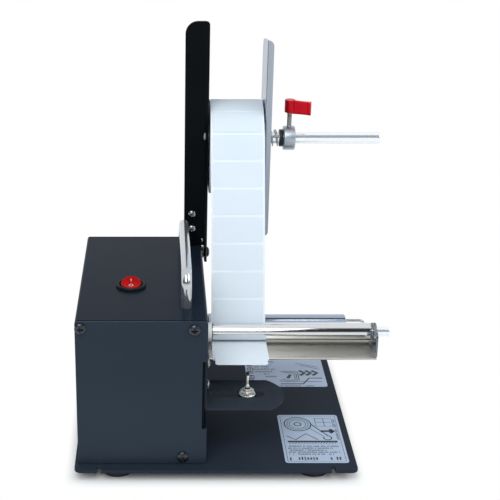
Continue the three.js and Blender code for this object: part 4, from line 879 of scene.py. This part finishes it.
clip_line, _ = bent_line([(27.05, 12.45), (111.3, 12.45), (111.3, -5.55)], [4], 8)
clip_path = leaning(clip_line[:, 0], 0 * clip_line[:, 0], clip_line[:, 1])
clip_side = leaning(0, 1, 0) - leaning(0, 0, 0)
fit(tube("wire_clip", clip_path, np.tile(clip_side, (len(clip_path), 1)), 1.25, 20, 0.4),
    spring_steel, "takeup", "spring_steel", "takeup_clip")

nylon = surface("gear_nylon", (226, 222, 206), 0.5, drift=0.03, grain=900, relief=0.05, under=0.05)
bronze = surface("bush_bronze", (176, 138, 72), 0.4, 0.9, drift=0.1, grain=1500, relief=0.2)
motor_shell = surface("motor_shell", (142, 146, 150), 0.34, 0.9, grain=600, relief=0.06)
board_green = surface("board_green", (30, 88, 56), 0.45, drift=0.12, patch=250, grain=1200, relief=0.2)
dress(nylon, "takeup_gear")
dress(bronze, "takeup_bush")
dress(motor_shell, "gear_motor")
dress(zinc, "motor_bracket", "motor_pinion")
dress(board_green, "control_board")


# Sensor arm. An angle of 1.5 mm steel, coated charcoal, with a rounded free end and a long slot.
# Its upright leg slides inside the case wall under two bright clamp screws.
arm_coat = surface("arm_coat", (45, 52, 61), 0.4, relief=0.25, scuff=0.06, level=coat_level)
arm_top, clamp_levels = 94.5, (66.5, 84.5)
arm_line, arm_run = bent_line([(-24.05, arm_top), (-24.05, 54.5), (36.05, 54.5)], [1.0], 4)


def arm_u(x):
    """The flat pattern's u of a place x on the arm's level part."""
    return np.interp(x, arm_line[5:, 0], arm_run[5:])


round_end = arc((8.55, -72.6), 27.5, -55.8, 111.6, 20)
end_flat = np.stack([arm_u(round_end[:, 0]), round_end[:, 1]], 1)
arm_rim = np.concatenate([[(0, -95.35)], end_flat, [(0, -49.85)]])
slot_loop = rounded(-21.05, 20.75, -77.45, -67.75, 4.85, 4.85, 4.85, 4.85, 8)
slot_loop = np.stack([arm_u(slot_loop[:, 0]), slot_loop[:, 1]], 1)[::-1]
leg_slots = [rounded(arm_top - z - 2.3, arm_top - z + 2.3, -91.45, -53.85, 2, 2, 2, 2, 4)[::-1]
             for z in clamp_levels]
fit(folded("sensor_arm_skin", [arm_rim, slot_loop, *leg_slots], arm_line, arm_run, 1.5, 0.3),
    arm_coat, "sensor_arm", "arm_coat", "sensor_arm")


def strokes(name, lines, level):
    """A print of flat strokes: each line's points are widened to both sides by half its width, at a level."""
    spots, faces, start = [], [], 0
    for line, width in lines:
        line = np.array(line, float)
        step = beside(line, width)
        edge = np.stack([line + step, line - step], 1).reshape(-1, 2)
        k = start + 2 * np.arange(len(line) - 1)
        faces.append(np.stack([k, k + 1, k + 3, k + 2], 1))
        spots.append(edge)
        start += len(edge)
    flat = np.concatenate(spots)
    mesh = bpy.data.meshes.new(name)
    mesh.from_pydata(np.c_[flat, np.full(len(flat), level)] * MM, [], np.concatenate(faces).tolist())
    return placed(name, mesh)


# The arrow stamped into the arm is drawn as flat dark strokes just over the coat: painted shade for its
# grooves.
arrow_groove_shade = surface("arrow_groove_shade", (6, 8, 10), 0.6, drift=0.1, patch=300, relief=0.05)
arrow_lines = [([(26.5, -77.0), (26.5, -67.0)], 0.7), ([(24.0, -70.4), (26.5, -66.9), (29.0, -70.4)], 0.8),
               ([(23.6, -78.0), (29.4, -78.0)], 0.7)]
fit(strokes("arm_arrow", arrow_lines, 54.56), arrow_groove_shade, "sensor_arm", "arm_coat")

for name, z in zip(("low", "high"), clamp_levels):
    screw(f"clamp_screw_{name}", (-23.75, -81.15, z), "right", 5.1, bright_screw, "bright_screw",
          f"arm_screw_{name}")


# Sensor. A small switch body under the arm, whose threaded barrel stands through the slot with a
# nickel nut and washer, and a thin sprung feeler pin with a black ball tip.
nickel = surface("nickel", (232, 232, 228), 0.2, 0.7, drift=0.04, patch=200, grain=900, relief=0.05)
sensor_at = (7.85, -72.6)


def hex_points(flat, bore, low, high, centre, ease):
    """A hexagonal nut: the rim's radius is half the flat width over cos of the angle from the nearest
    flat, and its corners fall above and below by 0.15 mm and 0.6 of their reach past the flats."""
    a = ring_angles(96)
    rim = flat / 2 / np.cos((a + np.pi / 6) % (np.pi / 3) - np.pi / 6)
    fall = 0.15 + np.maximum(rim - (flat / 2 - 0.1), 0) * 0.6
    inner = flat / 2 - ease
    rows = [(bore, low), (bore, high), (inner, high), (rim, high - fall),
            (rim, low + fall), (inner, low), (bore, low)]
    r, h = (np.stack([np.broadcast_to(row[i], rim.shape) for row in rows]) for i in (0, 1))
    return np.stack([centre[0] + r * np.cos(a), centre[1] + r * np.sin(a), h], -1)


fit(skin("nickel_nut", hex_points(10.2, 3.3, 55.5, 57.9, sensor_at, 0.6), crease=25),
    nickel, "sensor", "nickel", "sensor_nut")
lathed("nickel_washer", sleeve(3.3, 6.3, 54.7, 55.4), 0.2, "z", sensor_at, nickel, "sensor", "nickel")
dress(moulding, "sensor_body")

barrel_side = threaded(2.98, 0.1, 9, 52.0, 6.6, 72)
barrel_rim = eased([(3.06, 58.6), (3.06, 59.6), (2.2, 59.6), (1.9, 59.2), (0, 59.2)], 0.3)
barrel_profile = np.concatenate([[(0, 51.9), (3.06, 51.9)], barrel_side, barrel_rim])
lathed("threaded_barrel", barrel_profile, 0, "z", sensor_at, nickel, "sensor", "nickel", sides=48, crease=50)

pin_profile = [(0, 59.75), (1.1, 60.0), (1.6, 60.9), (1.6, 61.6), (1.25, 62.4), (1.0, 63.4)]
pin_profile += [(1.0, 70.3), (0.6, 70.75), (0, 70.75)]
lathed("feeler_pin", pin_profile, 0.35, "z", sensor_at, nickel, "sensor_pin", "nickel", "sensor_pin",
       sides=32, crease=60)
tip_radius, tip_z = 1.35, 72.5
tip_angle = np.linspace(-np.pi / 2, np.pi / 2, 17)
tip_profile = np.stack([tip_radius * np.cos(tip_angle), tip_z + tip_radius * np.sin(tip_angle)], 1)
tip_profile[-1, 0] = 0
tip_profile = np.concatenate([[(0, 70.6), (0.95, 70.6), (0.95, 71.4)], tip_profile[4:]])
lathed("feeler_tip", tip_profile, 0, "z", sensor_at, moulding, "sensor_pin", "black_plastic", "sensor_tip",
       sides=32, crease=50)


# Stickers. Two printed silver-blue foils with rounded corners on the base plate. Their print is a
# plain diagram of a roll and web, with rows of short bars where a text would stand.
foil_front = surface("foil_front", (165, 183, 206), 0.42, drift=0.03, grain=800, relief=0.06)
foil_rear = surface("foil_rear", (170, 187, 212), 0.42, drift=0.03, grain=800, relief=0.06)
print_ink = surface("print_ink", (20, 27, 38), 0.5, drift=0.1, patch=300, relief=0.05)
for name, x0, x1, y0, y1, finish in (("front", 36.35, 84.85, -100.65, -27.55, foil_front),
                                     ("rear", 16.05, 84.35, 20.85, 76.85, foil_rear)):
    rim = rounded(x0, x1, y0, y1, 2.5, 2.5, 2.5, 2.5, 5)
    fit(cut_sheet(f"sticker_{name}_foil", [rim], lambda u, v: (u, v, 10.72), 0.12, ease=0.04),
        finish, "frame", "sticker_foil", f"sticker_{name}")


def ticks(u0, u1, v, size, seed, along="x"):
    """A row of small upright and level dashes, drawn by chance in cells of 0.62 of the size, that stands
    where a line of text would be. It runs along x or y."""
    rng = np.random.default_rng(seed)
    made = []
    for u in np.arange(u0, u1, 0.62 * size):
        kind = rng.integers(0, 6)
        tall, half = size * 0.5, size * 0.2
        shapes = [[(u, v - tall), (u, v + tall)], [(u - half, v + tall), (u + half, v + tall)],
                  [(u - half, v), (u + half, v)], [(u - half, v - tall), (u + half, v - tall)]]
        picked = {0: (0, 1), 1: (0,), 2: (0, 3), 3: (1, 2, 3), 4: (0, 2), 5: ()}[int(kind)]
        made += [(shapes[k] if along == "x" else [(b, a) for a, b in shapes[k]], 0.2 * size) for k in picked]
    return made


def chevrons(x, y, count, size, step, width):
    """Bold open arrow heads in a row, each of two strokes that meet at its point."""
    return [([(x + step * i - size, y + size), (x + step * i, y), (x + step * i - size, y - size)], width)
            for i in range(count)]


cx, cy = 51.5, -42.5
roll_rings = ((10.6, 0.6), (8.4, 0.3), (6.6, 0.3), (2.7, 0.6))
front_print = [(arc((cx, cy), radius, 0, 360, 48), width) for radius, width in roll_rings]
front_print += [([(38.4, -98.4), (82.8, -98.4), (82.8, -29.8), (38.4, -29.8), (38.4, -98.4)], 0.25),
                ([(cx + 10.6, cy), (73.5, -60.5)], 0.6), ([(cx + 8.6, cy - 6), (70.6, -62.4)], 0.3),
                (arc((73.0, -63.8), 3.1, 90, -290, 24), 0.6), ([(41.0, -69.4), (80.0, -69.4)], 1.5),
                ([(41.0, -61.0), (47.5, -66.6), (56.5, -57.4), (65.0, -66.6)], 0.6),
                ([(66.0, -33.4), (79.6, -33.4), (79.6, -46.0), (66.0, -46.0), (66.0, -33.4)], 0.3),
                ([(66.0, -39.6), (79.6, -39.6)], 0.3), ([(72.8, -33.4), (72.8, -46.0)], 0.3)]
front_print += [([(42 + 2.2 * i, -72.9), (43.6 + 2.2 * i, -70.6)], 0.3) for i in range(17)]
front_print += chevrons(79.0, -53.5, 1, 3.0, 0, 1.6) + [([(68.6, -53.5), (78.4, -53.5)], 1.6)]
for i in range(5):
    front_print += ticks(40.6, 80.0 - 5 * (i % 3), -76.6 - 2.9 * i, 1.6, i)
front_print += ticks(40.8, 80.0, -94.6, 3.6, 9) + ticks(-66.0, -35.0, 81.1, 1.5, 11, "y")
rear_print = chevrons(78.0, 46.0, 3, 4.4, -5.4, 1.9)
rear_print += [(rounded(48.0 - k, 58.0 + k, 33.0 - k, 46.0 + k, 3, 3, 3, 3)[:-4], 0.4) for k in (0, 1.6, 3.2)]
rear_print += [([(44.5, 26.0), (64.0, 26.0), (70.0, 36.5), (81.5, 36.5)], 0.9),
               ([(51.5, 36.0), (54.5, 43.0)], 1.8)]
rear_print += [(ends, 0.45) for ends in ([(64.5, 61.0), (81.0, 53.0)], [(62.0, 30.0), (80.5, 30.0)],
                                         [(61.0, 65.0), (80.0, 57.0)])]
for i in range(7):
    rear_print += ticks(24.0 + 8 * (i > 4), 42.5 - 3 * (i % 3), 67 - 4.6 * i, 2.0, 20 + i)
rear_print += ticks(26.0, 74.0, 20.2 + 2.4, 1.5, 31) + ticks(30.0, 70.0, 20.4, 4.4, 33, "y")
bolder = 1.6
for name, lines in (("front", front_print), ("rear", rear_print)):
    fit(strokes(f"sticker_{name}_print", [(line, bolder * width) for line, width in lines], 10.745),
        print_ink, "frame", "sticker_foil")
